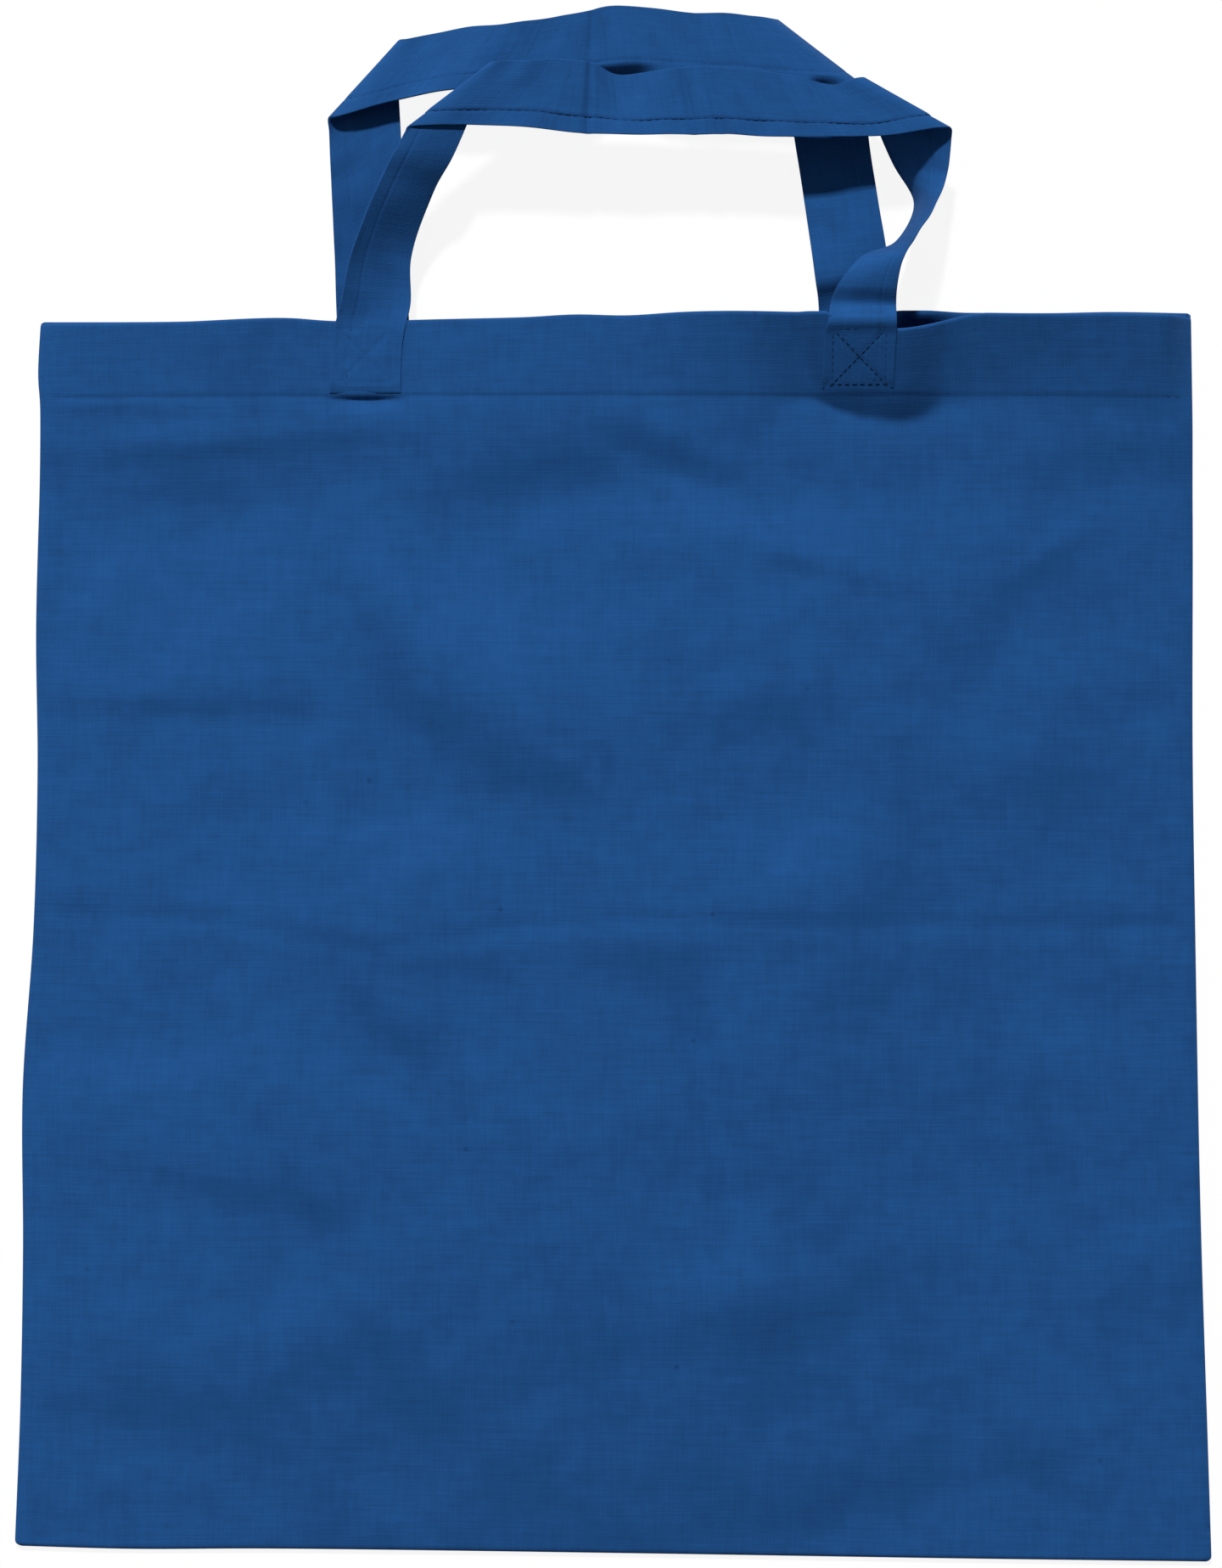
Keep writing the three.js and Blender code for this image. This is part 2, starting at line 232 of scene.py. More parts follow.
table_paper = bpy.data.materials.new("table_paper")
paper = finish_of(table_paper)
plain_paper = paper.node("ShaderNodeBsdfDiffuse", {}, {"Color": (PAPER_GREY,) * 3 + (1,)})
shaded_paper = paper.node("ShaderNodeBsdfDiffuse", {}, {"Color": (PAPER_SHADE,) * 3 + (1,)})
glow = paper.node("ShaderNodeEmission", {}, {"Color": WHITE, "Strength": PAPER_GLOW})
seen_paper = paper.node("ShaderNodeAddShader", {}, {0: shaded_paper, 1: glow})
either_paper = paper.node("ShaderNodeMixShader", {}, {0: seen_rays(paper), 1: plain_paper, 2: seen_paper})
paper.node("ShaderNodeOutputMaterial", {}, {"Surface": either_paper})

FLOOR_HALF = 4.0
FLOOR_LEVEL = -0.0002
floor_mesh = bpy.data.meshes.new("table")
floor_corners = [(-1, -1), (1, -1), (1, 1), (-1, 1)]
floor_points = [(x * FLOOR_HALF, y * FLOOR_HALF, FLOOR_LEVEL) for x, y in floor_corners]
floor_mesh.from_pydata(floor_points, [], [(0, 1, 2, 3)])
floor_mesh.materials.append(table_paper)
table = bpy.data.objects.new("table", floor_mesh)
scene.collection.objects.link(table)
print("table:", 2 * FLOOR_HALF, "m wide")

# %% [markdown]
# ## Dyed cotton
# Plain weave is threads passing over and under each other in a checker. The finish reads the cloth's own
# flat coordinates, in metres, so the threads follow every fold. Each thread is a small arch that rises
# and dips, and the higher of warp and weft is the surface. The colour is also painted darker where that
# surface is low: painted shade in the hollows between threads. Hand-spun looking cotton is never even:
# some threads are thicker and darker for a stretch, which long thin noise in both directions gives, and
# here and there a knot of fibre shows as a dark speck.

# %% Parts of a cloth finish
FLAT_MAP = "flat"
Streak = namedtuple("Streak", "width length seed share")


def shaded(colour, share):
    """A colour with its light scaled, for the dark and light ends of a mix."""
    return [level * share for level in linear(*colour)[:3]] + [1.0]


def flat_place(finish):
    """A piece's flat map, and its place across and along that map."""
    flat = finish.node("ShaderNodeUVMap", {"uv_map": FLAT_MAP}, {})
    across, along = [finish.node("ShaderNodeSeparateXYZ", {}, {0: flat}, axis) for axis in (0, 1)]
    return flat, across, along


def streaks(finish, across, along, kind):
    """Noise drawn out to a streak's width and length in metres, about zero on average."""
    place = {0: across * (1 / kind.width), 1: along * (1 / kind.length), 2: kind.seed}
    place = finish.node("ShaderNodeCombineXYZ", {}, place)
    noise = {"Vector": place, "Scale": 1.0, "Detail": 2.0, "Roughness": 0.55}
    return finish.node("ShaderNodeTexNoise", {}, noise, "Fac") - 0.5


def dyed_surface(finish, colours, tone, height, relief, looks):
    """Ends a finish: tone goes from the first colour to the second, and height is its relief."""
    mix = {0: tone, 6: colours[0], 7: colours[1]}
    dyed = finish.node("ShaderNodeMix", {"data_type": "RGBA"}, mix, 2)
    bump = finish.node("ShaderNodeBump", {}, {"Height": height, **relief})
    shader = finish.node("ShaderNodeBsdfPrincipled", {}, {"Base Color": dyed, "Normal": bump, **looks})
    finish.node("ShaderNodeOutputMaterial", {}, {"Surface": shader})


print("a third of a mid grey's light:", np.round(shaded((128, 128, 128), 1 / 3), 3).tolist())

# %% Cotton finish
CLOTH_BLUE = (27, 76, 133)
CLOTH_TONES = (0.5, 1.5)
THREAD_PITCH = 0.00047
WEAVE_MEAN = 0.62
# painted shade: the share of the tone that darkens the low parts of the weave, between the threads
WEAVE_SHADE_SHARE = 0.3
SPECK_GAP = 0.025
SPECK_SIZE = 0.0012
SPECK_SHARE = 0.4
# Each streak is its width and length in metres, its seed, and its share of the tone.
WARP_SLUBS = Streak(0.0009, 0.014, 1.5, 0.24)
WEFT_SLUBS = Streak(0.018, 0.0009, 7.5, 0.28)
CLOUDS = Streak(0.02, 0.02, 4.5, 0.18)
MOTTLE = Streak(0.006, 0.006, 2.5, 0.28)
SLUB_RELIEF = 1.2
CLOTH_RELIEF = {"Strength": 0.55, "Distance": 0.00012}
CLOTH_LOOKS = {"Roughness": 0.9, "Specular IOR Level": 0.1, "Sheen Weight": 0.06, "Sheen Roughness": 0.45,
               "Sheen Tint": (0.5, 0.65, 0.9, 1)}


def cotton(name, colour):
    """Matt dyed plain-weave cotton, on the piece's flat map."""
    material = bpy.data.materials.new(name)
    cloth = finish_of(material)
    flat, across, along = flat_place(cloth)
    warp = across * (1 / THREAD_PITCH)
    weft = along * (1 / THREAD_PITCH)
    warp_arch = 4 * warp.fraction() * (1 - warp.fraction())
    weft_arch = 4 * weft.fraction() * (1 - weft.fraction())
    warp_rise = 0.5 + 0.5 * ((weft + warp.floor()) * math.pi).sine()
    weft_rise = 0.5 - 0.5 * ((warp + weft.floor()) * math.pi).sine()
    weave = (warp_arch * warp_rise).highest(weft_arch * weft_rise)
    speck = cloth.node("ShaderNodeTexVoronoi", {}, {"Vector": flat, "Scale": 1 / SPECK_GAP}, "Distance")
    specks = (1 - speck * (SPECK_GAP / SPECK_SIZE)).highest(0)
    kinds = (WARP_SLUBS, WEFT_SLUBS, CLOUDS, MOTTLE)
    uneven = {kind: streaks(cloth, across, along, kind) for kind in kinds}
    # the weave term is painted shade: the tone is darker where the weave is low, in the hollows between
    # threads
    tone = 0.5 + WEAVE_SHADE_SHARE * (weave - WEAVE_MEAN) - SPECK_SHARE * specks
    for kind, noise in uneven.items():
        tone = tone + kind.share * noise
    height = weave + SLUB_RELIEF * (uneven[WARP_SLUBS] + uneven[WEFT_SLUBS])
    colours = [shaded(colour, share) for share in CLOTH_TONES]
    dyed_surface(cloth, colours, tone, height, CLOTH_RELIEF, CLOTH_LOOKS)
    return material


bag_cotton = cotton("bag_cotton", CLOTH_BLUE)
strap_cotton = cotton("strap_cotton", CLOTH_BLUE)
print("cotton nodes:", len(bag_cotton.node_tree.nodes))

# %% [markdown]
# ## Curves through points
# The outline of the bag and the two edges of each strap are smooth lines through a few measured points.
# A Catmull-Rom curve passes through every point, and its centripetal form doesn't overshoot where points
# lie close together, as they do at the folded corners of the handles.

# %% A smooth line
def smooth_line(points, steps=24):
    """Points along a centripetal Catmull-Rom curve through the given ones."""
    given = np.array(points, dtype=float)
    ends = (2 * given[:1] - given[1:2], 2 * given[-1:] - given[-2:-1])
    given = np.vstack([ends[0], given, ends[1]])
    gaps = np.sqrt(np.linalg.norm(np.diff(given, axis=0), axis=1))
    share = np.linspace(0, 1, steps, endpoint=False)[:, None]
    line = []
    for i in range(1, len(given) - 2):
        before, start, end, after = given[i - 1:i + 3]
        gap0, gap1, gap2 = gaps[i - 1:i + 2]
        leave = ((start - before) / gap0 - (end - before) / (gap0 + gap1)) * gap1 + (end - start)
        arrive = (end - start) - ((after - start) / (gap1 + gap2) - (after - end) / gap2) * gap1
        bend = 2 * (start - end) + leave + arrive
        line.append(start + share * (leave + share * (end - start - leave - bend * (1 - share))))
    line.append(given[-2:-1])
    return np.vstack(line)


def ease(value, low, high):
    """Zero at low, one at high, with a smooth rise between."""
    share = np.clip((value - low) / (high - low), 0, 1)
    return share * share * (3 - 2 * share)


def plateau(value, rise, fall):
    """One between two smooth borders and zero outside; a border is where it starts and where it ends."""
    return ease(value, *rise) * (1 - ease(value, *fall))


def line_at(line, x):
    """The height of a line of points at x."""
    return np.interp(x, line[:, 0], line[:, 1])


print("a line through three points has", len(smooth_line([(0, 0), (1, 1), (2, 0)])), "points")

# %% [markdown]
# ## The bag's outline
# A flat bag is nearly a rectangle, but cloth pulls in at the hem, bows along its sides and spreads at the
# base. These lines are read off the photograph in millimetres from the middle of the bag.

# %% Outline lines
LEFT_EDGE = [(-195.9, 158), (-196.8, 140), (-196.1, 128), (-197.8, 53), (-197.3, 5), (-198.7, -50),
             (-202.4, -105), (-202.3, -160), (-203.2, -213), (-205.2, -264)]
RIGHT_EDGE = [(198, 162), (198.9, 94), (198.9, 12), (199.8, -51), (201.6, -146), (204.1, -226),
              (205.5, -270)]
MOUTH_LINE = [(-200, 157.9), (-150, 158.1), (-112, 159.2), (-95, 158.2), (-60, 158.7), (-30, 159.3),
              (-13, 160.2), (5, 159.8), (24, 161.1), (40, 161.6), (70, 161.2), (107, 161.3), (150, 161.1),
              (172, 161.5), (202, 160.9)]
BASE_LINE = [(-208, -261.4), (-165, -262.6), (-120, -262.5), (0, -264), (120, -265.9), (208, -267)]
CORNER_ROUND = 1.9

left_line = smooth_line(LEFT_EDGE)
right_line = smooth_line(RIGHT_EDGE)
mouth_line = smooth_line(MOUTH_LINE)
base_line = smooth_line(BASE_LINE)


def side_lines(y):
    """The bag's left and right edge at a height in the picture, with the base corners rounded."""
    left = np.interp(-y, -left_line[:, 1], left_line[:, 0])
    right = np.interp(-y, -right_line[:, 1], right_line[:, 0])
    left_corner = np.clip(CORNER_ROUND - (y - base_y(left)), 0, CORNER_ROUND)
    right_corner = np.clip(CORNER_ROUND - (y - base_y(right)), 0, CORNER_ROUND)
    left = left + CORNER_ROUND - np.sqrt(CORNER_ROUND**2 - left_corner**2)
    right = right - CORNER_ROUND + np.sqrt(CORNER_ROUND**2 - right_corner**2)
    return left, right


def mouth_y(x):
    """The mouth's height in the picture at x."""
    return line_at(mouth_line, x)


def base_y(x):
    """The base fold's height in the picture at x."""
    return line_at(base_line, x)


print("bag width at the hem:", np.round(np.subtract(*side_lines(np.array([140.0]))[::-1]), 1), "mm")

# %% [markdown]
# ## Wrinkles
# The folds of crumpled cotton could come from a simulation, but then they would not lie where the
# photograph has them. With light from beyond the mouth, cloth that rises toward the mouth is dark and
# cloth that falls toward it is light. So each soft patch of the photograph becomes a gentle step in the
# cloth: a place, a half width and half height, a slant, and how steeply it rises. Sharp wrinkles are
# ridges or furrows along a drawn line instead, each with its own width on the upper and lower side, and
# one pressed crease runs right across the bag.

# %% Wrinkles read from the photograph
Patch = namedtuple("Patch", "x y half_width half_height slant rise")
DARK_PATCHES = [Patch(*row) for row in (
    (-130, 114.5, 52, 3.2, 0.08, 0.13), (-165, 128, 30, 2.4, 0.0, 0.12), (-150, 100, 46, 9, 0.05, 0.07),
    (-36, 104, 34, 12, 0.22, 0.11), (24, 110, 25, 5, -0.42, 0.15), (69, 73, 28, 3.4, -0.24, 0.17),
    (53, 24, 27, 13, 0.0, 0.11), (40, 43.5, 15, 2.8, 0.2, 0.1), (-41, 10, 34, 15, -0.42, 0.16),
    (-76, 44, 16, 19, -1.1, 0.14), (-152, 26.5, 52, 4.4, 0.0, 0.2), (-2, -60, 30, 9, 0.0, 0.1),
    (-83, -58, 38, 5.5, -0.15, 0.1), (-79, -81, 19, 15, -0.9, 0.16), (12, -115, 16, 16, -0.6, 0.06),
    (-140, -137, 44, 7, -0.22, 0.11), (60, -184, 27, 15, 0.0, 0.065), (-165, -214, 58, 14, 0.0, 0.1),
    (-76, -197, 19, 18, -0.8, 0.11), (-106, -138, 18, 14, -0.9, 0.1), (112, -236, 80, 19, 0.25, 0.05),
    (182, 113, 16, 5, 0.0, 0.12), (132, 60, 26, 16, 0.4, 0.08), (150, -10, 40, 18, 0.0, 0.07),
)]
LIGHT_PATCHES = [Patch(*row) for row in (
    (-149, 120, 42, 3.8, 0.04, 0.12), (-145, 55, 50, 18, 0.0, 0.09), (-28, 50, 42, 20, 0.0, 0.09),
    (26, 99, 24, 5, -0.5, 0.13), (50, 88, 40, 12, -0.1, 0.09), (-8, 3, 13, 4, -1.1, 0.14),
    (-84, -18, 60, 13, 0.0, 0.1), (52, -22, 38, 14, 0.0, 0.08), (-140, -95, 32, 14, 0.0, 0.09),
    (-36, -104, 14, 18, -1.5, 0.1), (42, -166, 34, 9, 0.0, 0.07), (-105, -178, 40, 12, 0.2, 0.06),
    (-10, -142, 80, 34, 0.0, 0.03),
)]
PATCH_STRENGTH = 1.45
PATCH_BEND = 1.2
PATCH_REACH = 3.0
Fold = namedtuple("Fold", "path height upper lower")
FOLDS = [
    Fold([(22, -60), (29, -92), (37, -124), (47, -166)], -3.2, 9, 6),
    Fold([(-16, 11), (-7, 2), (2, -7)], 0.5, 2.5, 2.5),
    Fold([(170, 96), (149, 79), (130, 64)], 0.7, 4, 3),
    Fold([(64, 158), (65.4, 148), (67.6, 140), (71.6, 132)], -2.4, 2.4, 2.4),
]
PRESSED_CREASE = [(-200, -44.3), (-138, -46.8), (-83, -57), (-40, -50), (7, -46.8), (50, -48), (81, -49),
                  (140, -49), (204, -48.5)]
CREASE_DEPTH = 0.6
CREASE_WIDTH = 3.0
FOLD_FADES = ((0, 0.28), (0.72, 1))
FOLD_STEPS = 5
print("patches:", len(DARK_PATCHES), "dark and", len(LIGHT_PATCHES), "light; folds:", len(FOLDS))

# %% Height of the wrinkles
def along_path(x, y, path):
    """Signed distance from a path, positive above it, and the share of its length at the nearest point."""
    points = np.array(path, dtype=float)
    lengths = np.linalg.norm(np.diff(points, axis=0), axis=1)
    starts = np.concatenate([[0], np.cumsum(lengths)])
    nearest = np.full(x.shape, np.inf)
    side = np.zeros(x.shape)
    share = np.zeros(x.shape)
    for i, length in enumerate(lengths):
        step = (points[i + 1] - points[i]) / length
        away_x = x - points[i, 0]
        away_y = y - points[i, 1]
        reach = np.clip(away_x * step[0] + away_y * step[1], 0, length)
        gap = np.hypot(away_x - reach * step[0], away_y - reach * step[1])
        closer = gap < nearest
        nearest = np.where(closer, gap, nearest)
        side = np.where(closer, np.sign(step[0] * away_y - step[1] * away_x), side)
        share = np.where(closer, (starts[i] + reach) / starts[-1], share)
    return nearest * np.where(side < 0, -1, 1), share


def fold_height(x, y, fold):
    """Height in millimetres that one fold adds to the cloth."""
    path = smooth_line(fold.path, FOLD_STEPS)
    if path[-1, 0] < path[0, 0]:
        path = path[::-1]
    gap, share = along_path(x, y, path)
    width = np.where(gap > 0, fold.upper, fold.lower)
    fade = plateau(share, *FOLD_FADES)
    return fold.height * fade * np.exp(-(gap / width) ** 2)


def patch_height(x, y, patch):
    """Height in millimetres of one soft step; above and below it the cloth goes back to level."""
    across = (x - patch.x) / patch.half_width
    up = (y - patch.y - patch.slant * (x - patch.x)) / patch.half_height
    step = patch.rise * patch.half_height / PATCH_BEND * np.tanh(PATCH_BEND * up)
    return step * np.exp(-((up / PATCH_REACH) ** 2) - across**2)


def wrinkles(x, y):
    """Height of all the patches and folds together."""
    dark = sum(patch_height(x, y, patch) for patch in DARK_PATCHES)
    light = sum(patch_height(x, y, patch) for patch in LIGHT_PATCHES)
    crease, _ = along_path(x, y, PRESSED_CREASE)
    pressed = CREASE_DEPTH * np.exp(-((crease / CREASE_WIDTH) ** 2))
    return PATCH_STRENGTH * (dark - light) - pressed + sum(fold_height(x, y, fold) for fold in FOLDS)


print("wrinkle height at the middle:", np.round(wrinkles(np.zeros(1), np.zeros(1)), 2), "mm")

# %% [markdown]
# ## Small ripples
# Between its folds cloth is never flat. A few dozen long waves in random directions, from a fixed seed,
# give it a gentle unevenness that the raking light picks up.

# %% Ripples
RIPPLE_COUNT = 60
RIPPLE_LENGTHS = (16, 70)
RIPPLE_SLOPE = 0.05
RIPPLE_SEED = 11
ripple_draws = np.random.default_rng(RIPPLE_SEED)
ripple_turns = ripple_draws.uniform(0, math.pi, RIPPLE_COUNT)
ripple_waves = 2 * math.pi / ripple_draws.uniform(*RIPPLE_LENGTHS, RIPPLE_COUNT)
ripple_starts = ripple_draws.uniform(0, 2 * math.pi, RIPPLE_COUNT)


def ripples(x, y):
    """Uneven height in millimetres, about zero on average."""
    total = np.zeros(np.broadcast(x, y).shape)
    for turn, wave, start in zip(ripple_turns, ripple_waves, ripple_starts):
        total = total + np.sin(wave * (x * math.cos(turn) + y * math.sin(turn)) + start) / wave
    return total * RIPPLE_SLOPE * math.sqrt(2 / RIPPLE_COUNT)


print("ripple height at the middle:", float(np.round(ripples(np.array(0.0), np.array(0.0)), 2)), "mm")

# %% [markdown]
# ## Height of the front panel
# The front panel lies over a thin hollow: low along its sides and base, a little higher in the middle, and
# falling away slowly to the right. The hem is folded over and stands a little proud. Three lists along
# the bag's width say how it hangs: how steeply it tips up toward the mouth, how far below its stitches it
# starts to bend, and how soft that bend is. Its right half tips up most, at the right strap, so it faces
# away from the light. Under the end of the left strap the single cloth of the panel is pushed in, which
# the light turns into a dark slot.

# %% Rise of the front panel
EDGE_HEIGHT = 2.2
HEM_LINE = 132.2
HEM_DEPTH = 26.5
HEM_LIFT = 2.7
LIFT_SPAN = (95, 128)
# A fall starts at a share of the panel's width or length and steepens with its power.
Fall = namedtuple("Fall", "start power")
LEFT_FALL = Fall(0.45, 1.6)
RIGHT_FALL = Fall(0.6, 1.8)
BASE_FALL = Fall(0.6, 1.7)
RIGHT_BASE_FALL = Fall(0.15, 1.1)
TOWARD_RIGHT = (0.6, 0.85)
MOUTH_RISE = 0.85
MOUTH_SPAN = (0, 0.3)
Hollow = namedtuple("Hollow", "x y half_width half_height depth")
STRAP_HOLLOW = Hollow(84, 152, 42, 48, 0.4)


def below_mouth(x, y):
    """Distance from the mouth along the cloth; the hem line is level although the mouth is not."""
    top = mouth_y(x)
    in_hem = HEM_DEPTH * (top - y) / (top - HEM_LINE)
    return np.where(y > HEM_LINE, in_hem, HEM_DEPTH + HEM_LINE - y)


def back_height(y):
    """The back panel's underside: flat, with the hem lifted over the strap ends."""
    return HEM_LIFT * ease(y, *LIFT_SPAN)


def crown(x, y):
    """Share of the full rise: low at the edges, and falling away slowly to the right and the base."""
    left, right = side_lines(y)
    share = np.clip((x - left) / (right - left), 0, 1)
    down = np.clip((mouth_y(x) - y) / (mouth_y(x) - base_y(x)), 0, 1)
    left_rise = 1 - np.maximum(0, 1 - share / LEFT_FALL.start) ** LEFT_FALL.power
    right_rise = 1 - np.maximum(0, (share - RIGHT_FALL.start) / (1 - RIGHT_FALL.start)) ** RIGHT_FALL.power
    to_right = ease(share, *TOWARD_RIGHT)
    start = BASE_FALL.start + (RIGHT_BASE_FALL.start - BASE_FALL.start) * to_right
    power = BASE_FALL.power + (RIGHT_BASE_FALL.power - BASE_FALL.power) * to_right
    base_rise = 1 - (np.maximum(0, down - start) / (1 - start)) ** power
    mouth_rise = MOUTH_RISE + (1 - MOUTH_RISE) * ease(down, *MOUTH_SPAN)
    across = (x - STRAP_HOLLOW.x) / STRAP_HOLLOW.half_width
    up = (y - STRAP_HOLLOW.y) / STRAP_HOLLOW.half_height
    sunk = STRAP_HOLLOW.depth * np.exp(-(across**2) - up**2)
    return left_rise * right_rise * base_rise * mouth_rise * (1 - sunk)


print("share of the rise at the middle:", np.round(crown(np.zeros(1), np.zeros(1)), 2))

# %% Front panel height
# The hem's spans are distances past its stitches, and the tab's are places across the bag.
PANEL_RISE = 12.5
SIDE_FADE = 9.0
BASE_FADE = 12.0
HEM_PROUD = 0.3
HEM_STEP = (-1, 1.5)
HEM_GROOVE = 0.24
GROOVE_WIDTH = 0.9
HEM_WRINKLES = 0.3
WRINKLE_START = (-4, 6)
HINGE_GAP = 1.0
HEM_TILT = [(-210, 0.08), (-160, 0.08), (-124, 0.16), (-84, 0.04), (-40, 0.06), (-10, 0.09), (15, 0.16),
            (40, 0.32), (58, 0.46), (104, 0.48), (130, 0.43), (160, 0.37), (190, 0.34), (210, 0.3)]
HINGE_DROP = [(60, 0), (68, 0.3), (72, 1.4), (76, 3.4), (82, 5.4), (92, 7), (100, 7.4), (106, 6), (114, 1),
              (124, 0)]
HINGE_SOFT = [(-210, 3), (-125, 4), (-100, 1.2), (-68, 1.2), (-45, 4), (10, 7), (48, 6), (64, 1.0),
              (104, 0.7), (116, 3), (140, 8), (210, 10)]
TAB_TILT = 0.36
TAB_REACH = 12.0
TAB_LEFT = (62, 67)
TAB_RIGHT = (97, 113)
TAB_BOW = 0.0075
TAB_LENGTH = 30
Slot = namedtuple("Slot", "x half_width depth gap lip reach")
LEFT_SLOT = Slot(-84.3, 14, 2.0, 1.4, 1.0, 3.0)
tilt_line = smooth_line(HEM_TILT)
drop_line = smooth_line(HINGE_DROP)
soft_line = smooth_line(HINGE_SOFT)


def tab_share(x, below):
    """Where the right strap holds the hem up. Its left border curves to the right on the way down."""
    bowed = x - TAB_BOW * np.clip(below, 0, TAB_LENGTH) ** 2
    return ease(bowed, *TAB_LEFT) * (1 - ease(x, *TAB_RIGHT))


def hem_lift(x, below):
    """How far the hem has tipped up at a distance from the mouth."""
    over = HINGE_GAP + line_at(drop_line, x) - (below - HEM_DEPTH)
    past = 0.5 * (over + np.hypot(over, line_at(soft_line, x)))
    bent = TAB_REACH * (1 - np.exp(-past / TAB_REACH))
    return line_at(tilt_line, x) * past + TAB_TILT * tab_share(x, below) * bent


def slot_depth(x, below):
    """How far the panel is pushed in below the end of the left strap."""
    span = np.maximum(0, 1 - ((x - LEFT_SLOT.x) / LEFT_SLOT.half_width) ** 2)
    under = below - HEM_DEPTH - LEFT_SLOT.gap
    reach = np.where(under > 0, LEFT_SLOT.reach, LEFT_SLOT.lip)
    return LEFT_SLOT.depth * span * np.exp(-((under / reach) ** 2))


def front_height(x, y):
    """The front panel's upper face, in millimetres above the table."""
    left, right = side_lines(y)
    below = below_mouth(x, y)
    past_hem = below - HEM_DEPTH
    lowest = back_height(y) + EDGE_HEIGHT
    inside = ease(np.minimum(x - left, right - x), 0, SIDE_FADE) * ease(y - base_y(x), 0, BASE_FADE)
    on_panel = HEM_WRINKLES + (1 - HEM_WRINKLES) * ease(past_hem, *WRINKLE_START)
    uneven = (wrinkles(x, y) + ripples(x, y)) * on_panel
    proud = HEM_PROUD * (1 - ease(past_hem, *HEM_STEP))
    groove = HEM_GROOVE * np.exp(-((past_hem / GROOVE_WIDTH) ** 2))
    height = lowest + PANEL_RISE * crown(x, y) + inside * (uneven + proud - groove + hem_lift(x, below))
    return np.maximum(height - slot_depth(x, below), lowest)


print("front panel at its middle:", np.round(front_height(np.array([0.0]), np.array([-40.0])), 1), "mm")

# %% [markdown]
# ## The bag's cloth
# The real cloth is one rectangle, so the mesh is one grid: it starts at the raw edge inside the front
# hem, turns over the mouth, runs down the front, round the base fold, up the back and over into the back
# hem. The first and last columns are the side seam allowances, turned in. The grid holds the middle of the
# cloth and Solidify gives it its thickness. Its flat map is measured along the cloth, in metres.

# %% Columns of the cloth
PANEL_WIDTH = 400.0
PANEL_HALF = PANEL_WIDTH / 2
PANEL_COLUMNS = 164
DENSE_COLUMNS = [(-108, -62), (56, 120)]
DENSE_SHARE = 1.2
DENSE_FADE = 12
SPREAD_POINTS = 801
SEAM_TURN = 0.275
SEAM_ALLOWANCE = 10.0
SEAM_COLUMNS = [SEAM_ALLOWANCE, 6.5, 3.0]
HEM_INSET = 1.6
HEM_TUCK = 1.0
TUCK_STEP = 0.1
FOLD_ANGLES = [math.pi * k / 4 for k in (1, 2, 3)]

seam_angles = np.array([math.pi] + FOLD_ANGLES[::-1])
seam_inset = np.concatenate([SEAM_COLUMNS, SEAM_TURN * (1 - np.sin(seam_angles))])
seam_depth = np.concatenate([[2 * SEAM_TURN] * len(SEAM_COLUMNS), SEAM_TURN * (1 - np.cos(seam_angles))])
hem_tucks = HEM_TUCK + TUCK_STEP * np.arange(len(seam_inset))
spread = np.linspace(0, 1, SPREAD_POINTS)
spread_x = PANEL_WIDTH * (spread - 0.5)
dense = sum(plateau(spread_x, (low - DENSE_FADE, low), (high, high + DENSE_FADE))
            for low, high in DENSE_COLUMNS)
closeness = 1 + DENSE_SHARE * dense
count = np.cumsum(closeness) - closeness[0]
panel_share = np.interp(np.linspace(0, count[-1], PANEL_COLUMNS + 1), count, spread)


def cloth_row(y_of, z_of, turn, allowance):
    """One row of the cloth: a point for every column. turn points to the cloth's wrong side."""
    left = float(side_lines(y_of(np.array([-PANEL_HALF])))[0][0])
    right = float(side_lines(y_of(np.array([PANEL_HALF])))[1][0])
    inset = SEAM_TURN + (1 - allowance) * HEM_INSET
    panel_x = left + inset + (right - left - 2 * inset) * panel_share
    tucked = allowance * seam_inset + (1 - allowance) * hem_tucks
    x = np.concatenate([left + tucked, panel_x, right - tucked[::-1]])
    level_x = np.clip(x, left + inset, right - inset)
    y = y_of(level_x)
    z = z_of(level_x, y)
    sunk = allowance * np.concatenate([seam_depth, np.zeros(len(panel_x)), seam_depth[::-1]])
    return np.stack([x, y + turn[0] * sunk, z + turn[1] * sunk], axis=1)


print("columns:", len(panel_share), "on the panel and", 2 * len(seam_inset), "in the seams")

# %% Rows of the cloth
BAG_LENGTH = float(HEM_DEPTH + HEM_LINE - base_y(0.0))
MOUTH_DRAW = 0.8
DRAW_SPAN = (0, 60)
TAB_DRAW = 6.0
TAB_GAPE = ((72, 79), (96, 128))
FRONT_SPAN = (39.3, BAG_LENGTH - 6.2)
FRONT_ROWS = 148
BACK_SPAN = (BAG_LENGTH - 7, 34)
BACK_ROWS = 30


def from_mouth(distance):
    """The line at a distance below the mouth of a panel."""
    if distance <= HEM_DEPTH:
        return lambda x: mouth_y(x) - distance * (mouth_y(x) - HEM_LINE) / HEM_DEPTH
    share = (distance - HEM_DEPTH) / (BAG_LENGTH - HEM_DEPTH)
    return lambda x: HEM_LINE - share * (HEM_LINE - base_y(x))


def mouth_draw(x):
    """How far the front's mouth is drawn in. It gapes from the right strap to a little beyond it."""
    return MOUTH_DRAW * (1 + ease(x, *DRAW_SPAN)) + TAB_DRAW * plateau(x, *TAB_GAPE)


def front_line(distance):
    """The same line on the front, where the mouth is drawn in and the hem's stitches are not."""
    share = max(0.0, 1 - distance / HEM_DEPTH)
    drawn = from_mouth(distance)
    return lambda x: drawn(x) - share * mouth_draw(x)


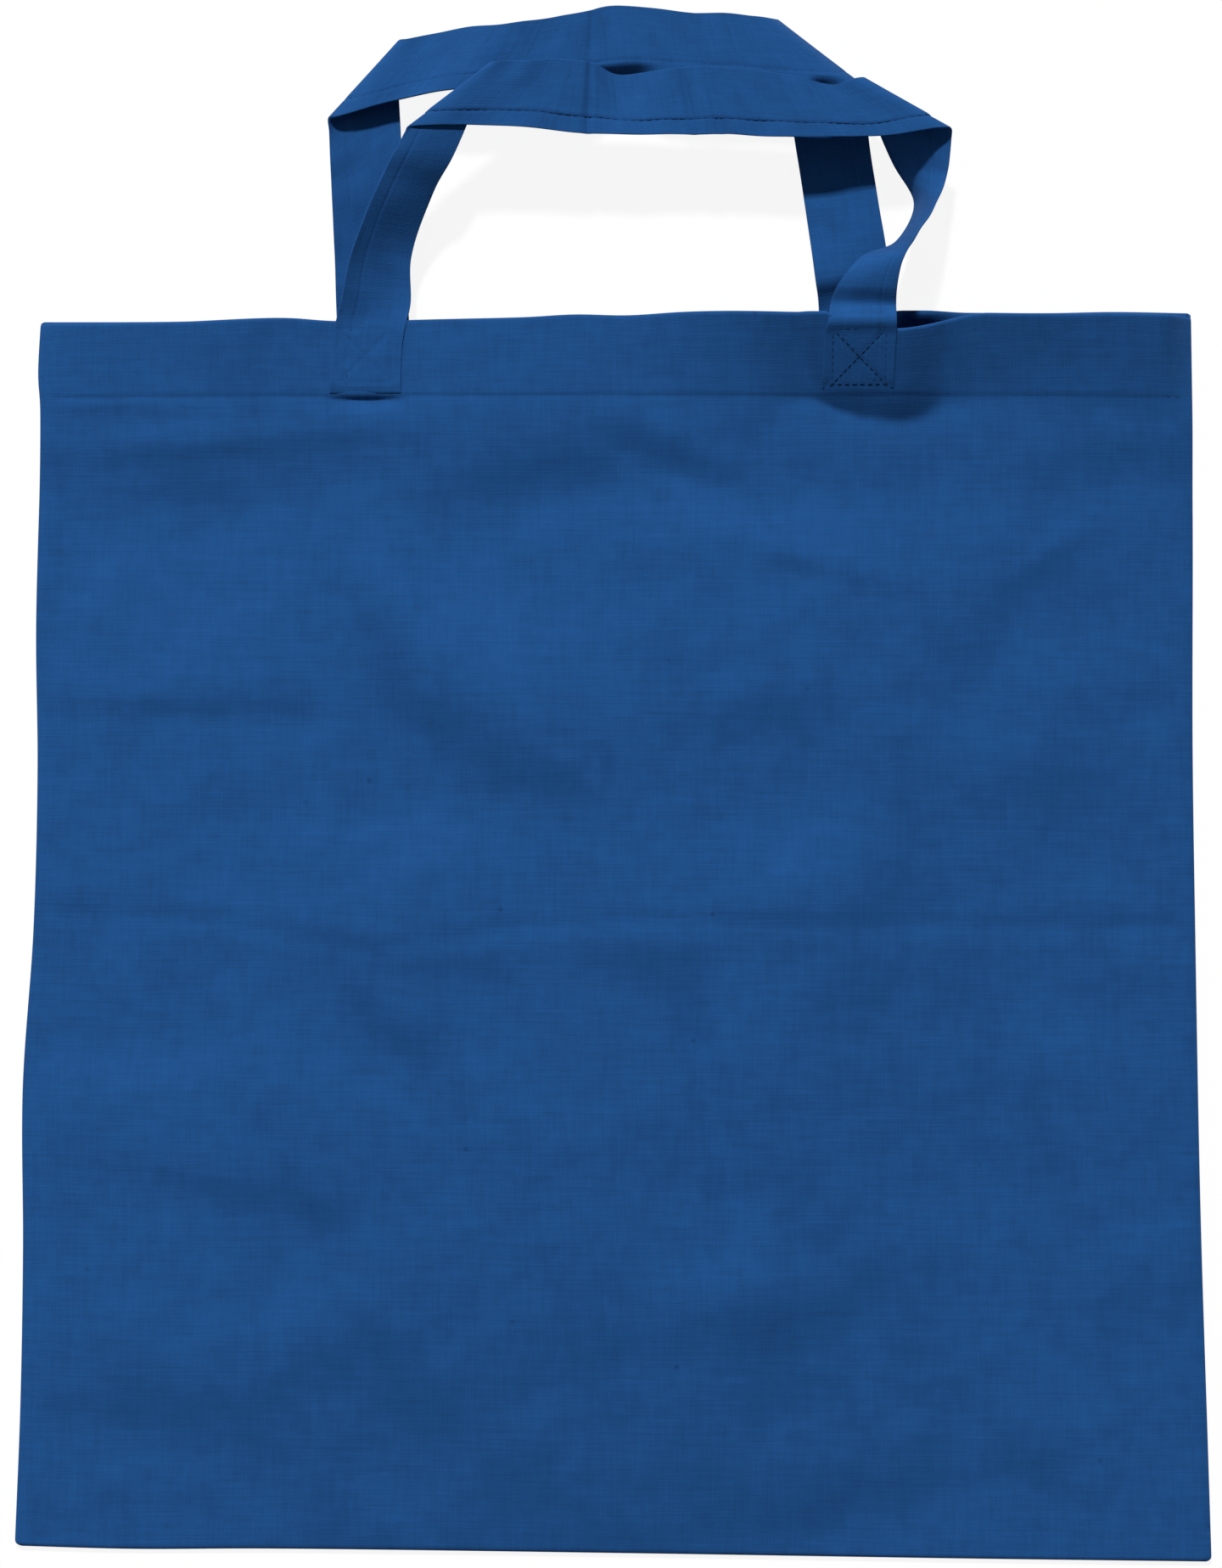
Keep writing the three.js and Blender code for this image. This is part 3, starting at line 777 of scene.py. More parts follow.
hem_rows = [0.5, 1.2, 2.5, 4.5, 7, 9.5, 12, 14.5, 17, 19.5, 22]
hem_rows += [HEM_DEPTH + gap for gap in (-2.6, -1.5, -0.8, -0.3, 0.1, 0.6, 1.2)]
slot_rows = [HEM_DEPTH + gap for gap in (1.9, 2.7, 3.6, 4.6, 5.8, 7.2, 8.8, 10.6)]
base_rows = [BAG_LENGTH - gap for gap in (4.6, 3.4, 2.5, 1.8, 1.3)]
front_rows = hem_rows + slot_rows + list(np.linspace(*FRONT_SPAN, FRONT_ROWS)) + base_rows
back_rows = base_rows[::-1] + list(np.linspace(*BACK_SPAN, BACK_ROWS))
back_rows += [31, 28.5, 27, 26, 23, 17, 12, 9, 7, 5, 3.5, 2.3, 1.4, 0.5]
inside_hem_rows = [26.5, 25, 21, 16, 11, 8, 6, 4, 2.5, 1.3, 0.5]
print("rows:", len(front_rows), "front and", len(back_rows), "back")

# %% Grid of the cloth
CLOTH = 0.45
MOUTH_TURN = 0.5
BASE_TURN = (EDGE_HEIGHT - CLOTH) / 2
BACK_FADE = 25
BACK_PRESSED = (90, 120)
BACK_LOFT = 0.8
BACK_RIPPLES = 0.9
BACK_MOST = 2.5
RIPPLE_SHIFT = 40
CURL_HEIGHT = 8.0
CURL_REACH = 8
CURL_SPAN = ((92, 99), (106, 122))


def hem_row(distance, line, surface, side):
    """A row of the turned-in hem, one hem thickness inside the panel."""
    return cloth_row(line(distance), lambda x, y: surface(x, y) - side * 2 * MOUTH_TURN, (0, side), 0.0)


def mouth_row(angle, line, surface, side):
    """A row of the fold over the mouth. The angle goes from the outside to the inside."""
    lift = MOUTH_TURN * math.sin(angle)
    drop = MOUTH_TURN * (1 - math.cos(angle))
    start = line(MOUTH_TURN)
    outside = 1 - angle / math.pi
    turn = (-math.sin(angle), -side * math.cos(angle))
    height = lambda x, y: surface(x, y - lift) - side * drop
    return cloth_row(lambda x: start(x) + lift, height, turn, outside)


def front_middle(x, y):
    """The front panel's cloth, half its thickness below the upper face."""
    return front_height(x, y) - CLOTH / 2


def back_middle(x, y):
    """The back panel's cloth. Its mouth curls up beside the right strap and shades the opening there."""
    left, right = side_lines(y)
    inside = ease(np.minimum(x - left, right - x), 0, BACK_FADE) * ease(y - base_y(x), 0, BACK_FADE)
    inside = inside * (1 - ease(y, *BACK_PRESSED))
    curl = CURL_HEIGHT * plateau(x, *CURL_SPAN) * ease(below_mouth(x, y), CURL_REACH, 0)
    loft = np.clip(BACK_LOFT + BACK_RIPPLES * ripples(-x, y + RIPPLE_SHIFT), 0, BACK_MOST)
    return back_height(y) + CLOTH / 2 + curl + inside * loft


def base_row(angle):
    """A row of the fold along the base, from the front to the back."""
    middle = EDGE_HEIGHT / 2
    turn = (math.sin(angle), -math.cos(angle))
    return cloth_row(lambda x: base_y(x) + BASE_TURN * (1 - math.sin(angle)),
                     lambda x, y: np.full(x.shape, middle + BASE_TURN * math.cos(angle)), turn, 1.0)


grid = [hem_row(row, front_line, front_middle, 1) for row in inside_hem_rows]
grid += [mouth_row(angle, front_line, front_middle, 1) for angle in FOLD_ANGLES[::-1]]
grid += [cloth_row(front_line(row), front_middle, (0, -1), 1.0) for row in front_rows]
grid += [base_row(angle) for angle in [0] + FOLD_ANGLES + [math.pi]]
grid += [cloth_row(from_mouth(row), back_middle, (0, 1), 1.0) for row in back_rows]
grid += [mouth_row(angle, from_mouth, back_middle, -1) for angle in FOLD_ANGLES]
grid += [hem_row(row, from_mouth, back_middle, -1) for row in inside_hem_rows[::-1]]
grid = np.array(grid)
print("cloth grid:", grid.shape[0], "rows of", grid.shape[1])

# %% [markdown]
# ## From grid to mesh
# A helper turns any grid of points into a mesh with a flat map in metres. Faces are wound so that the
# right side of the cloth points out, and Solidify is applied at once, so what is exported is plain mesh.

# %% Grid mesh helper
def grid_mesh(name, points, flat, tube=False):
    """A quad mesh over points in millimetres, with its flat map. A tube's rows are closed rings."""
    rows, columns = points.shape[:2]
    last = columns if tube else columns - 1
    index = np.arange(rows * columns).reshape(rows, columns)
    index = np.concatenate([index, index[:, :1]], axis=1)
    near = slice(None, -1)
    far = slice(1, None)
    this = slice(None, last)
    following = slice(1, last + 1)
    corners = [(near, this), (far, this), (far, following), (near, following)]
    faces = np.stack([index[corner] for corner in corners], axis=-1).reshape(-1, 4)
    place = np.stack([flat[corner] for corner in corners], axis=-2).reshape(-1, 2)
    if tube:
        low = np.arange(columns // 2)
        high = columns - 1 - low
        near_end = np.stack([high[:-1], low[:-1], low[1:], high[1:]], axis=-1)
        far_end = near_end[:, ::-1]
        faces = np.concatenate([faces, near_end, far_end + (rows - 1) * columns])
        place = np.concatenate([place, flat[0, near_end.ravel()], flat[-1, far_end.ravel()]])
    mesh = bpy.data.meshes.new(name)
    mesh.from_pydata((points.reshape(-1, 3) * MM).tolist(), [], faces.tolist())
    layer = mesh.uv_layers.new(name=FLAT_MAP)
    layer.data.foreach_set("uv", (place * MM).ravel())
    mesh.polygons.foreach_set("use_smooth", [True] * len(mesh.polygons))
    return mesh


def show(name, mesh, node, material):
    """Puts a finished mesh in the scene in place of a node of the frame."""
    mesh.materials.clear()
    mesh.materials.append(material)
    piece = bpy.data.objects.new(name, mesh)
    scene.collection.objects.link(piece)
    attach(piece, "root")
    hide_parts(node)
    return piece


def applied(holder):
    """The mesh that an object's modifiers make. The object itself is taken away."""
    made = bpy.data.meshes.new_from_object(holder.evaluated_get(bpy.context.evaluated_depsgraph_get()))
    bpy.data.objects.remove(holder)
    return made


def thickened(mesh, thickness):
    """The mesh with a wall on both sides of it."""
    holder = bpy.data.objects.new("holder", mesh)
    scene.collection.objects.link(holder)
    wall = holder.modifiers.new("wall", "SOLIDIFY")
    wall.thickness = thickness * MM
    wall.offset = 0.0
    return applied(holder)


print("the grid gives", (grid.shape[0] - 1) * (grid.shape[1] - 1), "faces on each side of the cloth")

# %% Bag body
middle_column = grid.shape[1] // 2
along_steps = np.linalg.norm(np.diff(grid[:, middle_column, 1:], axis=0), axis=1)
along_flat = np.concatenate([[0], np.cumsum(along_steps)])
turned_in = SEAM_TURN * math.pi + seam_inset
panel_flat = PANEL_WIDTH * panel_share - PANEL_HALF
across_flat = np.concatenate([-PANEL_HALF - turned_in, panel_flat, PANEL_HALF + turned_in[::-1]])
flat = np.stack(np.broadcast_arrays(across_flat[None, :], along_flat[:, None]), axis=-1)
body_mesh = thickened(grid_mesh("bag_body_cloth", grid, flat), CLOTH)
bag_body = show("bag_body_cloth", body_mesh, "bag_body", bag_cotton)
print("bag body:", len(body_mesh.polygons), "faces,", round(along_flat[-1]), "mm of cloth along")

# %% [markdown]
# ## Handles
# Each handle is a strip of the same cloth folded in four to a flat strap and closed by a row of stitches
# near one edge. It rises from the hem, turns over at a folded corner, crosses, and turns over again. A
# strap can't stretch, so it is drawn as a row of straight rulings from its outer to its inner edge, and
# a smooth line through each edge gives the twisted ribbon between.

# %% Paths of the two straps
STRAP_WIDTH = 24.4
STRAP_HALF = 0.5
SEWN_HALF = 0.33
PRESSED = 0.1
PRESSED_END = 0.4
BACK_END = 1.6


def on_hem(x, y, pressed=PRESSED):
    """A point for a strap's middle where it is sewn flat to the front hem."""
    return (x, y, float(front_height(np.array([x]), np.array([y]))[0]) + SEWN_HALF - pressed)


# Each ruling is a point on the strap's outer edge and the point opposite on its inner edge.
BACK_HANDLE = [
    ((-93.2, 136, BACK_END), (-68.8, 136, BACK_END)),
    ((-94.8, 160, BACK_END), (-70, 160, BACK_END)),
    ((-95.3, 178, 3.4), (-70.8, 180, 3.4)),
    ((-96.3, 204, 7.6), (-72.2, 216, 8.2)),
    ((-97, 222.5, 9.6), (-73.4, 247.5, 10.4)),
    ((-97, 226.6, 12.2), (-72.8, 253.2, 12.2)),
    ((-94, 227.2, 14.2), (-69.6, 253.8, 14)),
    ((-73.7, 232.6, 16.4), (-55, 256.6, 15.6)),
    ((-49, 236.2, 21.2), (-36, 258.2, 20.6)),
    ((-22, 238.6, 21), (-15, 261, 20.6)),
    ((2, 240.2, 20.6), (-1, 264.1, 20.2)),
    ((28, 239.6, 20.6), (25, 262.2, 19.8)),
    ((56, 237.4, 19.6), (45, 261.4, 18)),
    ((82, 236.2, 16.4), (54, 260.6, 14.6)),
    ((86.8, 237.2, 10.4), (56.8, 259.8, 9.6)),
    ((87, 234, 5.8), (56.9, 255.6, 5.6)),
    ((87.6, 221, 6.8), (61.9, 223, 5)),
    ((90.5, 202, 6.8), (65.5, 200, 5.6)),
    ((93.8, 182, 6.8), (68.5, 179, 6.8)),
    ((94.7, 175, 7), (69.5, 171.4, 7)),
    ((94.9, 170, 3.8), (70.4, 166.4, 3.6)),
    ((95, 164.6, BACK_END), (70.8, 161, BACK_END)),
    ((95.2, 137.6, BACK_END), (70.8, 137.6, BACK_END)),
]
FRONT_HANDLE = [
    (on_hem(-96.6, 132.9, PRESSED_END), on_hem(-72.2, 132.9, PRESSED_END)),
    (on_hem(-96.6, 135.6), on_hem(-72.2, 135.6)),
    (on_hem(-96.5, 141), on_hem(-72.1, 141)),
    (on_hem(-96.2, 148), on_hem(-71.8, 148)),
    (on_hem(-95, 155), on_hem(-70.8, 155)),
    ((-92.6, 164, 17), (-69, 163.4, 13.4)),
    ((-88.6, 181, 23), (-68.8, 180, 12)),
    ((-79.6, 202.6, 28), (-61, 201, 18.4)),
    ((-74, 213.6, 29.2), (-53.8, 213.4, 25.2)),
    ((-70.2, 220.2, 29.4), (-42.4, 239.6, 27.4)),
    ((-69.6, 221.6, 30), (-41.2, 243.6, 28)),
    ((-66.4, 222.2, 30.4), (-38.4, 244.1, 28.6)),
    ((-42, 222.6, 28.2), (-24, 245, 27)),
    ((-9, 220.2, 26.6), (-8, 244.4, 26)),
    ((6, 219.6, 26), (2, 240.4, 22.4)),
    ((28, 219.9, 26), (24, 242.8, 25.6)),
    ((60, 219, 25.8), (52, 241.4, 25.4)),
    ((90, 219.6, 23.6), (75, 237.2, 22.4)),
    ((111.8, 222.5, 22.6), (82.4, 239.4, 22)),
    ((115, 222.6, 21), (85.4, 239.4, 20)),
    ((115.3, 219, 17.4), (86.2, 235.4, 13.6)),
    ((113.8, 207, 17), (96, 213, 2.6)),
    ((109, 195, 25.8), (103.6, 199, 3.6)),
    ((101.8, 184, 34.6), (97, 185, 13)),
    ((97.8, 176, 35.2), (83.6, 177.4, 26.4)),
    ((96.1, 168, 32.2), (76.4, 169, 27.4)),
    ((95.9, 162, 28.2), (73.8, 162.6, 25)),
    (on_hem(96, 157), on_hem(73, 157.2)),
    (on_hem(96.1, 152), on_hem(71.8, 152)),
    (on_hem(95.8, 146), on_hem(71.6, 146)),
    (on_hem(95.6, 139), on_hem(71.4, 139)),
    (on_hem(95.6, 134.2, PRESSED_END), on_hem(71.4, 134.2, PRESSED_END)),
]
print("rulings:", len(BACK_HANDLE), "back and", len(FRONT_HANDLE), "front")

# %% [markdown]
# ## Stations along a strap
# The rulings are spread evenly along the strap, and a few marks of use are added to them: pressed creases
# that run across it, and, on the back strap, the border outside the stitches, which has bent down in two
# places. Each mark is a small move along the strap's own face direction, so it works at any angle.

# %% Strap stations
STATION_STEP = 0.75
STITCH_SHARE = 0.24
Strap = namedtuple("Strap", "outer across face length from_end sag sewn groove step")
# A mark is its place across the bag, its width and its depth.
Mark = namedtuple("Mark", "x width depth")
BACK_CREASES = [Mark(-7.5, 1.3, 0.5), Mark(30, 1.4, 0.3)]
FRONT_CREASES = [Mark(-8, 1.2, 1.0), Mark(25.5, 1.3, 0.9), Mark(34.3, 1.3, 0.7)]
RUN_SPAN = (214, 222)
SEWN_FADE = 8


def strap_stations(rulings, creases, sewn_reach, groove, step):
    """Evenly spaced rulings of a strap, the direction of its faces, its creases and its sewn ends."""
    outer = smooth_line([ruling[0] for ruling in rulings])
    inner = smooth_line([ruling[1] for ruling in rulings])
    travel = np.linalg.norm(np.diff((outer + inner) / 2, axis=0), axis=1)
    reach = np.concatenate([[0], np.cumsum(travel)])
    length = np.linspace(0, reach[-1], int(reach[-1] / STATION_STEP) + 1)
    outer = np.stack([np.interp(length, reach, outer[:, k]) for k in range(3)], axis=1)
    inner = np.stack([np.interp(length, reach, inner[:, k]) for k in range(3)], axis=1)
    middle = (outer + inner) / 2
    face = np.cross(inner - outer, np.gradient(middle, axis=0))
    face /= np.linalg.norm(face, axis=1)[:, None]
    on_run = ease(middle[:, 1], *RUN_SPAN)
    dips = [mark.depth * np.exp(-((middle[:, 0] - mark.x) / mark.width) ** 2) for mark in creases]
    sag = sum(dips) * on_run
    from_end = np.minimum(length, length[-1] - length)
    sewn_share = 1 - ease(from_end, sewn_reach, sewn_reach + SEWN_FADE)
    return Strap(outer, inner - outer, face, length, from_end, sag, sewn_share, groove, step)


back_strap = strap_stations(BACK_HANDLE, BACK_CREASES, sewn_reach=18, groove=0.08, step=0.08)
front_strap = strap_stations(FRONT_HANDLE, FRONT_CREASES, sewn_reach=20, groove=0.14, step=0.34)
print("strap lengths:", round(back_strap.length[-1]), "and", round(front_strap.length[-1]), "mm")

# %% Thickness of a strap
EDGE_ROUND = 0.22
EDGE_LEAST = 0.04
GROOVE_HALF = 0.6
END_SHARE = 0.4
END_TAPER = 4
STEP_BORDER = (-0.5, 0.3)
STEP_WAVES = (7.1, 2.9)
STEP_UNEVEN = 0.5
TACK_SIZE = 18.0
TACK_GROOVE = 0.18
TACK_HALF = 0.7
FRONT_TACKS = [(-84.4, 145.6), (83.6, 145)]
BACK_TACKS = [(-81.1, 147), (83, 148.6)]
EDGE_POINTS = (0, 0.07, 0.2, 0.4, 1.0)
GROOVE_POINTS = (-1.2, -0.8, -0.4, 0, 0.4, 0.8, 1.2)
FLAT_SPAN = (0.07, 0.93)
FLAT_POINTS = 29
edge_share = np.array(EDGE_POINTS) / STRAP_WIDTH
stitch_share = STITCH_SHARE + np.array(GROOVE_POINTS) / STRAP_WIDTH
flat_share = np.linspace(*FLAT_SPAN, FLAT_POINTS)
strap_share = np.unique(np.concatenate([edge_share, flat_share, stitch_share, 1 - edge_share]))


def strap_half(strap, share):
    """Half the strap's thickness: round edges, a groove along the stitches, and pressed flat where sewn."""
    edge = np.minimum(share, 1 - share) * STRAP_WIDTH
    rounded = np.sqrt(1 - (1 - np.clip(edge / EDGE_ROUND, EDGE_LEAST, 1)) ** 2)
    groove = strap.groove * np.exp(-((share - STITCH_SHARE) * STRAP_WIDTH / GROOVE_HALF) ** 2)
    tapered = END_SHARE + (1 - END_SHARE) * ease(strap.from_end, 0, END_TAPER)
    full = (STRAP_HALF + (SEWN_HALF - STRAP_HALF) * strap.sewn) * tapered
    return full[:, None] * (rounded - groove / STRAP_HALF)[None, :]


def tack_sides(place):
    """The sides of a sewn square and its cross, as pairs of points."""
    half = TACK_SIZE / 2
    corners = [(-half, -half), (half, -half), (half, half), (-half, half), (-half, -half), (half, half)]
    sides = list(zip(corners, corners[1:])) + [((half, -half), (-half, half))]
    return [[(place[0] + x, place[1] + y) for x, y in side] for side in sides]


def tack_groove(points, tacks):
    """Depth of the grooves that the sewn squares press into a strap."""
    depth = np.zeros(points.shape[:2])
    for place in tacks:
        for side in tack_sides(place):
            gap, _ = along_path(points[:, :, 0], points[:, :, 1], side)
            depth = np.maximum(depth, np.exp(-((gap / TACK_HALF) ** 2)))
    return TACK_GROOVE * depth


def layer_step(strap):
    """Depth of the border outside the stitches, where the folded strap has one layer of cloth less."""
    row = STITCH_SHARE * STRAP_WIDTH
    border = 1 - ease(strap_share * STRAP_WIDTH - row, *STEP_BORDER)
    waves = np.sin(strap.length / STEP_WAVES[0]) * np.sin(strap.length / STEP_WAVES[1] + 1)
    uneven = 1 + STEP_UNEVEN * waves
    return strap.step * (uneven * (1 - strap.sewn))[:, None] * border[None, :]


print("points across a strap:", len(strap_share))

# %% Strap meshes
THINNEST = 0.03
BENT_BORDERS = [Mark(3.2, 10.4, 4.6), Mark(75.6, 7, 9)]
BORDER_SHARE = 0.17
Wave = namedtuple("Wave", "height length start slant")
SIDEWAYS_WAVES = [Wave(0.1, 3.1, 0, 2), Wave(0.14, 5.3, 1, 0)]
UPWARD_WAVES = [Wave(0.2, 4.3, 0, -3), Wave(0.12, 2.6, 0, 4)]


def wavy(strap, share, waves):
    """Small moves of the loose part of a strap, by station and share of its width."""
    turn = [strap.length[:, None] / wave.length + wave.start + wave.slant * share for wave in waves]
    moves = sum(wave.height * np.sin(angle) for wave, angle in zip(waves, turn))
    return (1 - strap.sewn[:, None]) * moves


def strap_middle(strap, share, borders=()):
    """Points in the middle of the strap's cloth, by station and share of its width."""
    points = strap.outer[:, None, :] + share[None, :, None] * strap.across[:, None, :]
    points[:, :, 1] += wavy(strap, share, SIDEWAYS_WAVES)
    points[:, :, 2] += wavy(strap, share, UPWARD_WAVES)
    down = np.repeat(strap.sag[:, None], len(share), axis=1)
    outside = np.maximum(0, 1 - share / BORDER_SHARE)
    level = np.abs(strap.face[:, 2:3]) ** 4 * ease(points[:, :, 1], *RUN_SPAN)
    for border in borders:
        near = np.exp(-((points[:, :, 0] - border.x) / border.width) ** 4)
        down = down + border.depth * near * level * outside
    upright = np.sign(strap.face[:, 2:3])
    return points - (down * upright)[:, :, None] * strap.face[:, None, :]


def strap_mesh(name, strap, tacks, borders=()):
    """A closed strap: lower face, upper face and both ends."""
    middle = strap_middle(strap, strap_share, borders)
    groove = tack_groove(middle, tacks) * strap.sewn[:, None]
    half = np.maximum(strap_half(strap, strap_share) - groove, THINNEST)[:, :, None]
    lower_half = np.maximum(half - layer_step(strap)[:, :, None], 2 * THINNEST - half)
    lower = middle - lower_half * strap.face[:, None, :]
    upper = middle + half * strap.face[:, None, :]
    rings = np.concatenate([lower, upper[:, ::-1]], axis=1)
    width = STRAP_WIDTH * np.concatenate([strap_share, 2 - strap_share[::-1], [2]])
    flat = np.stack(np.broadcast_arrays(width[None, :], strap.length[:, None]), axis=-1)
    return grid_mesh(name, rings, flat, tube=True)


back_mesh = strap_mesh("back_handle_strap", back_strap, BACK_TACKS, BENT_BORDERS)
front_mesh = strap_mesh("front_handle_strap", front_strap, FRONT_TACKS)
back_handle = show("back_handle_strap", back_mesh, "back_handle", strap_cotton)
front_handle = show("front_handle_strap", front_mesh, "front_handle", strap_cotton)
print("strap faces:", len(back_handle.data.polygons), "and", len(front_handle.data.polygons))

# %% [markdown]
# ## Sewing thread
# Thread is a few fibres twisted together, dyed to match the cloth and pulled down into it. Its colour is
# painted a shade darker than the cloth, as painted shade for the grooves the stitches lie in. The twist is
# a slanting wave on each stitch's own map, and the colour is painted darker in the grooves of the twist.

# %% Thread finish
# the thread's blue with painted shade: darker than the cloth, standing for the shade of the grooves it
# sinks into
SHADED_THREAD_BLUE = (20, 56, 102)
THREAD_TONES = (0.55, 1.4)
THREAD_RELIEF = {"Strength": 0.5, "Distance": 0.00008}
THREAD_LOOKS = {"Roughness": 0.78, "Specular IOR Level": 0.14}
TWISTS = 7


def sewing_thread(name, colour):
    """Twisted dyed thread, with painted shade in the grooves of its twist."""
    material = bpy.data.materials.new(name)
    thread = finish_of(material)
    _, around, along = flat_place(thread)
    twist = 0.5 + 0.5 * ((2 * around + TWISTS * along) * (2 * math.pi)).sine()
    colours = [shaded(colour, share) for share in THREAD_TONES]
    # painted shade: the tone follows the twist's height, darker in the grooves between its fibres
    dyed_surface(thread, colours, 0.25 + 0.5 * twist, twist, THREAD_RELIEF, THREAD_LOOKS)
    return material


blue_thread = sewing_thread("blue_thread", SHADED_THREAD_BLUE)
print("thread nodes:", len(blue_thread.node_tree.nodes))

# %% [markdown]
# ## Rows of stitches
# A row of stitches is one small shape repeated along a line, which is what Geometry Nodes are for. The
# tree below turns a guide line into a curve, spaces points along it, and puts a grain of thread on each,
# turned to follow the line and varied a little by a fixed seed. One tree serves every seam of the bag.

# %% Stitch tree
STITCH_LENGTH = 2.8
STITCH_GAP = 0.5
THREAD_RADIUS = 0.18
STITCH_SIDES = 6
STITCH_RINGS = 6
SMALLEST_STITCH = (0.85, 0.85, 0.88)
LARGEST_STITCH = (1.1, 1.1, 1.06)
STITCH_INPUTS = {"Guide": "Geometry", "Stitch Length": "Float", "Gap": "Float", "Thread Radius": "Float",
                 "Seed": "Int", "Thread": "Material"}


def stitch_tree():
    """A node group that sews a row of stitches along the edges of a mesh."""
    group = bpy.data.node_groups.new("stitch_row", "GeometryNodeTree")
    for name, kind in STITCH_INPUTS.items():
        group.interface.new_socket(name, in_out="INPUT", socket_type="NodeSocket" + kind)
    group.interface.new_socket("Stitches", in_out="OUTPUT", socket_type="NodeSocketGeometry")
    sewing = Nodes(group)
    inputs = group.nodes.new("NodeGroupInput")
    sockets = inputs.outputs[:len(STITCH_INPUTS)]
    guide, length, gap, radius, seed, thread = (Value(sewing, socket) for socket in sockets)
    line = sewing.node("GeometryNodeMeshToCurve", {}, {"Mesh": guide})
    spaced = sewing.node("GeometryNodeResampleCurve", {"mode": "LENGTH"}, {"Curve": line, "Length": length})
    ball_sizes = {"Segments": STITCH_SIDES, "Rings": STITCH_RINGS, "Radius": 1.0}
    ball = sewing.node("GeometryNodeMeshUVSphere", {}, ball_sizes)
    ball_map = Value(sewing, ball.socket.node.outputs[1])
    map_settings = {"data_type": "FLOAT2", "domain": "CORNER"}
    mapped = sewing.node("GeometryNodeStoreNamedAttribute", map_settings,
                         {"Geometry": ball, "Name": FLAT_MAP, "Value": ball_map})
    grain_size = sewing.node("ShaderNodeCombineXYZ", {}, {0: radius, 1: radius, 2: (length - gap) * 0.5})
    grain = sewing.node("GeometryNodeTransform", {}, {"Geometry": mapped, "Scale": grain_size})
    way = sewing.node("GeometryNodeInputTangent", {}, {})
    turned = sewing.node("FunctionNodeAlignRotationToVector", {"axis": "Z"}, {"Vector": way})
    spread = {0: SMALLEST_STITCH, 1: LARGEST_STITCH, "Seed": seed}
    size = sewing.node("FunctionNodeRandomValue", {"data_type": "FLOAT_VECTOR"}, spread)
    row = sewing.node("GeometryNodeInstanceOnPoints", {},
                      {"Points": spaced, "Instance": grain, "Rotation": turned, "Scale": size})
    real = sewing.node("GeometryNodeRealizeInstances", {}, {"Geometry": row})
    soft = sewing.node("GeometryNodeSetShadeSmooth", {}, {"Geometry": real})
    dyed = sewing.node("GeometryNodeSetMaterial", {}, {"Geometry": soft, "Material": thread})
    sewing.node("NodeGroupOutput", {}, {0: dyed})
    return group


stitch_row = stitch_tree()
stitch_inputs = [item for item in stitch_row.interface.items_tree if item.in_out == "INPUT"]
print("stitch tree inputs:", [item.name for item in stitch_inputs])

# %% A sewn row
def sewn(node, lines, stitch_length, seed):
    """Sews stitches along lines of points, in millimetres, in place of a thread of the frame."""
    points = np.concatenate([np.array(line, dtype=float) for line in lines])
    starts = np.cumsum([0] + [len(line) for line in lines])
    edges = [(i, i + 1) for first, last in zip(starts[:-1], starts[1:]) for i in range(first, last - 1)]
    guide_mesh = bpy.data.meshes.new(node + "_guide")
    guide_mesh.from_pydata((points * MM).tolist(), edges, [])
    guide = bpy.data.objects.new(node + "_guide", guide_mesh)
    scene.collection.objects.link(guide)
    modifier = guide.modifiers.new("stitches", "NODES")
    modifier.node_group = stitch_row
    given = {"Stitch Length": stitch_length * MM, "Gap": STITCH_GAP * MM, "Seed": seed,
             "Thread Radius": THREAD_RADIUS * MM, "Thread": blue_thread}
    for item in stitch_inputs:
        if item.name in given:
            modifier[item.identifier] = given[item.name]
    made = applied(guide)
    made.name = node + "_stitches"
    return show(node + "_stitches", made, node, blue_thread)


print("a stitch is", STITCH_LENGTH - STITCH_GAP, "mm long, with", STITCH_GAP, "mm to the next")

# %% [markdown]
# ## Where the seams run
# The hem row goes once round the mouth, outside both panels. The straps' rows lie in their grooves on both
# faces. Each strap end is held by a square with a cross in it, and the raw edges of the side seams are
# bound inside the bag by a zigzag.

# %% Seam lines
THREAD_SINK = -0.15
HEM_SPAN = (-190, 193)
HEM_POINTS = 260
TACK_POINTS = 20
ZIGZAG_SPAN = (-250, 128)
ZIGZAG_POINTS = 300
ZIGZAG_INSETS = (10.4, 7.6)


def hem_line(surface, line, side):
    """Points along the hem's stitches on the outside of one panel."""
    x = np.linspace(*HEM_SPAN, HEM_POINTS)
    y = line(HEM_DEPTH)(x)
    return np.stack([x, y, surface(x, y) + side * (CLOTH / 2 + THREAD_SINK)], axis=1)


def strap_line(strap, side, borders=()):
    """Points along a strap's groove on one of its faces."""
    groove = np.array([STITCH_SHARE])
    depth = side * (strap_half(strap, groove) + THREAD_SINK)
    return strap_middle(strap, groove, borders)[:, 0] + depth * strap.face


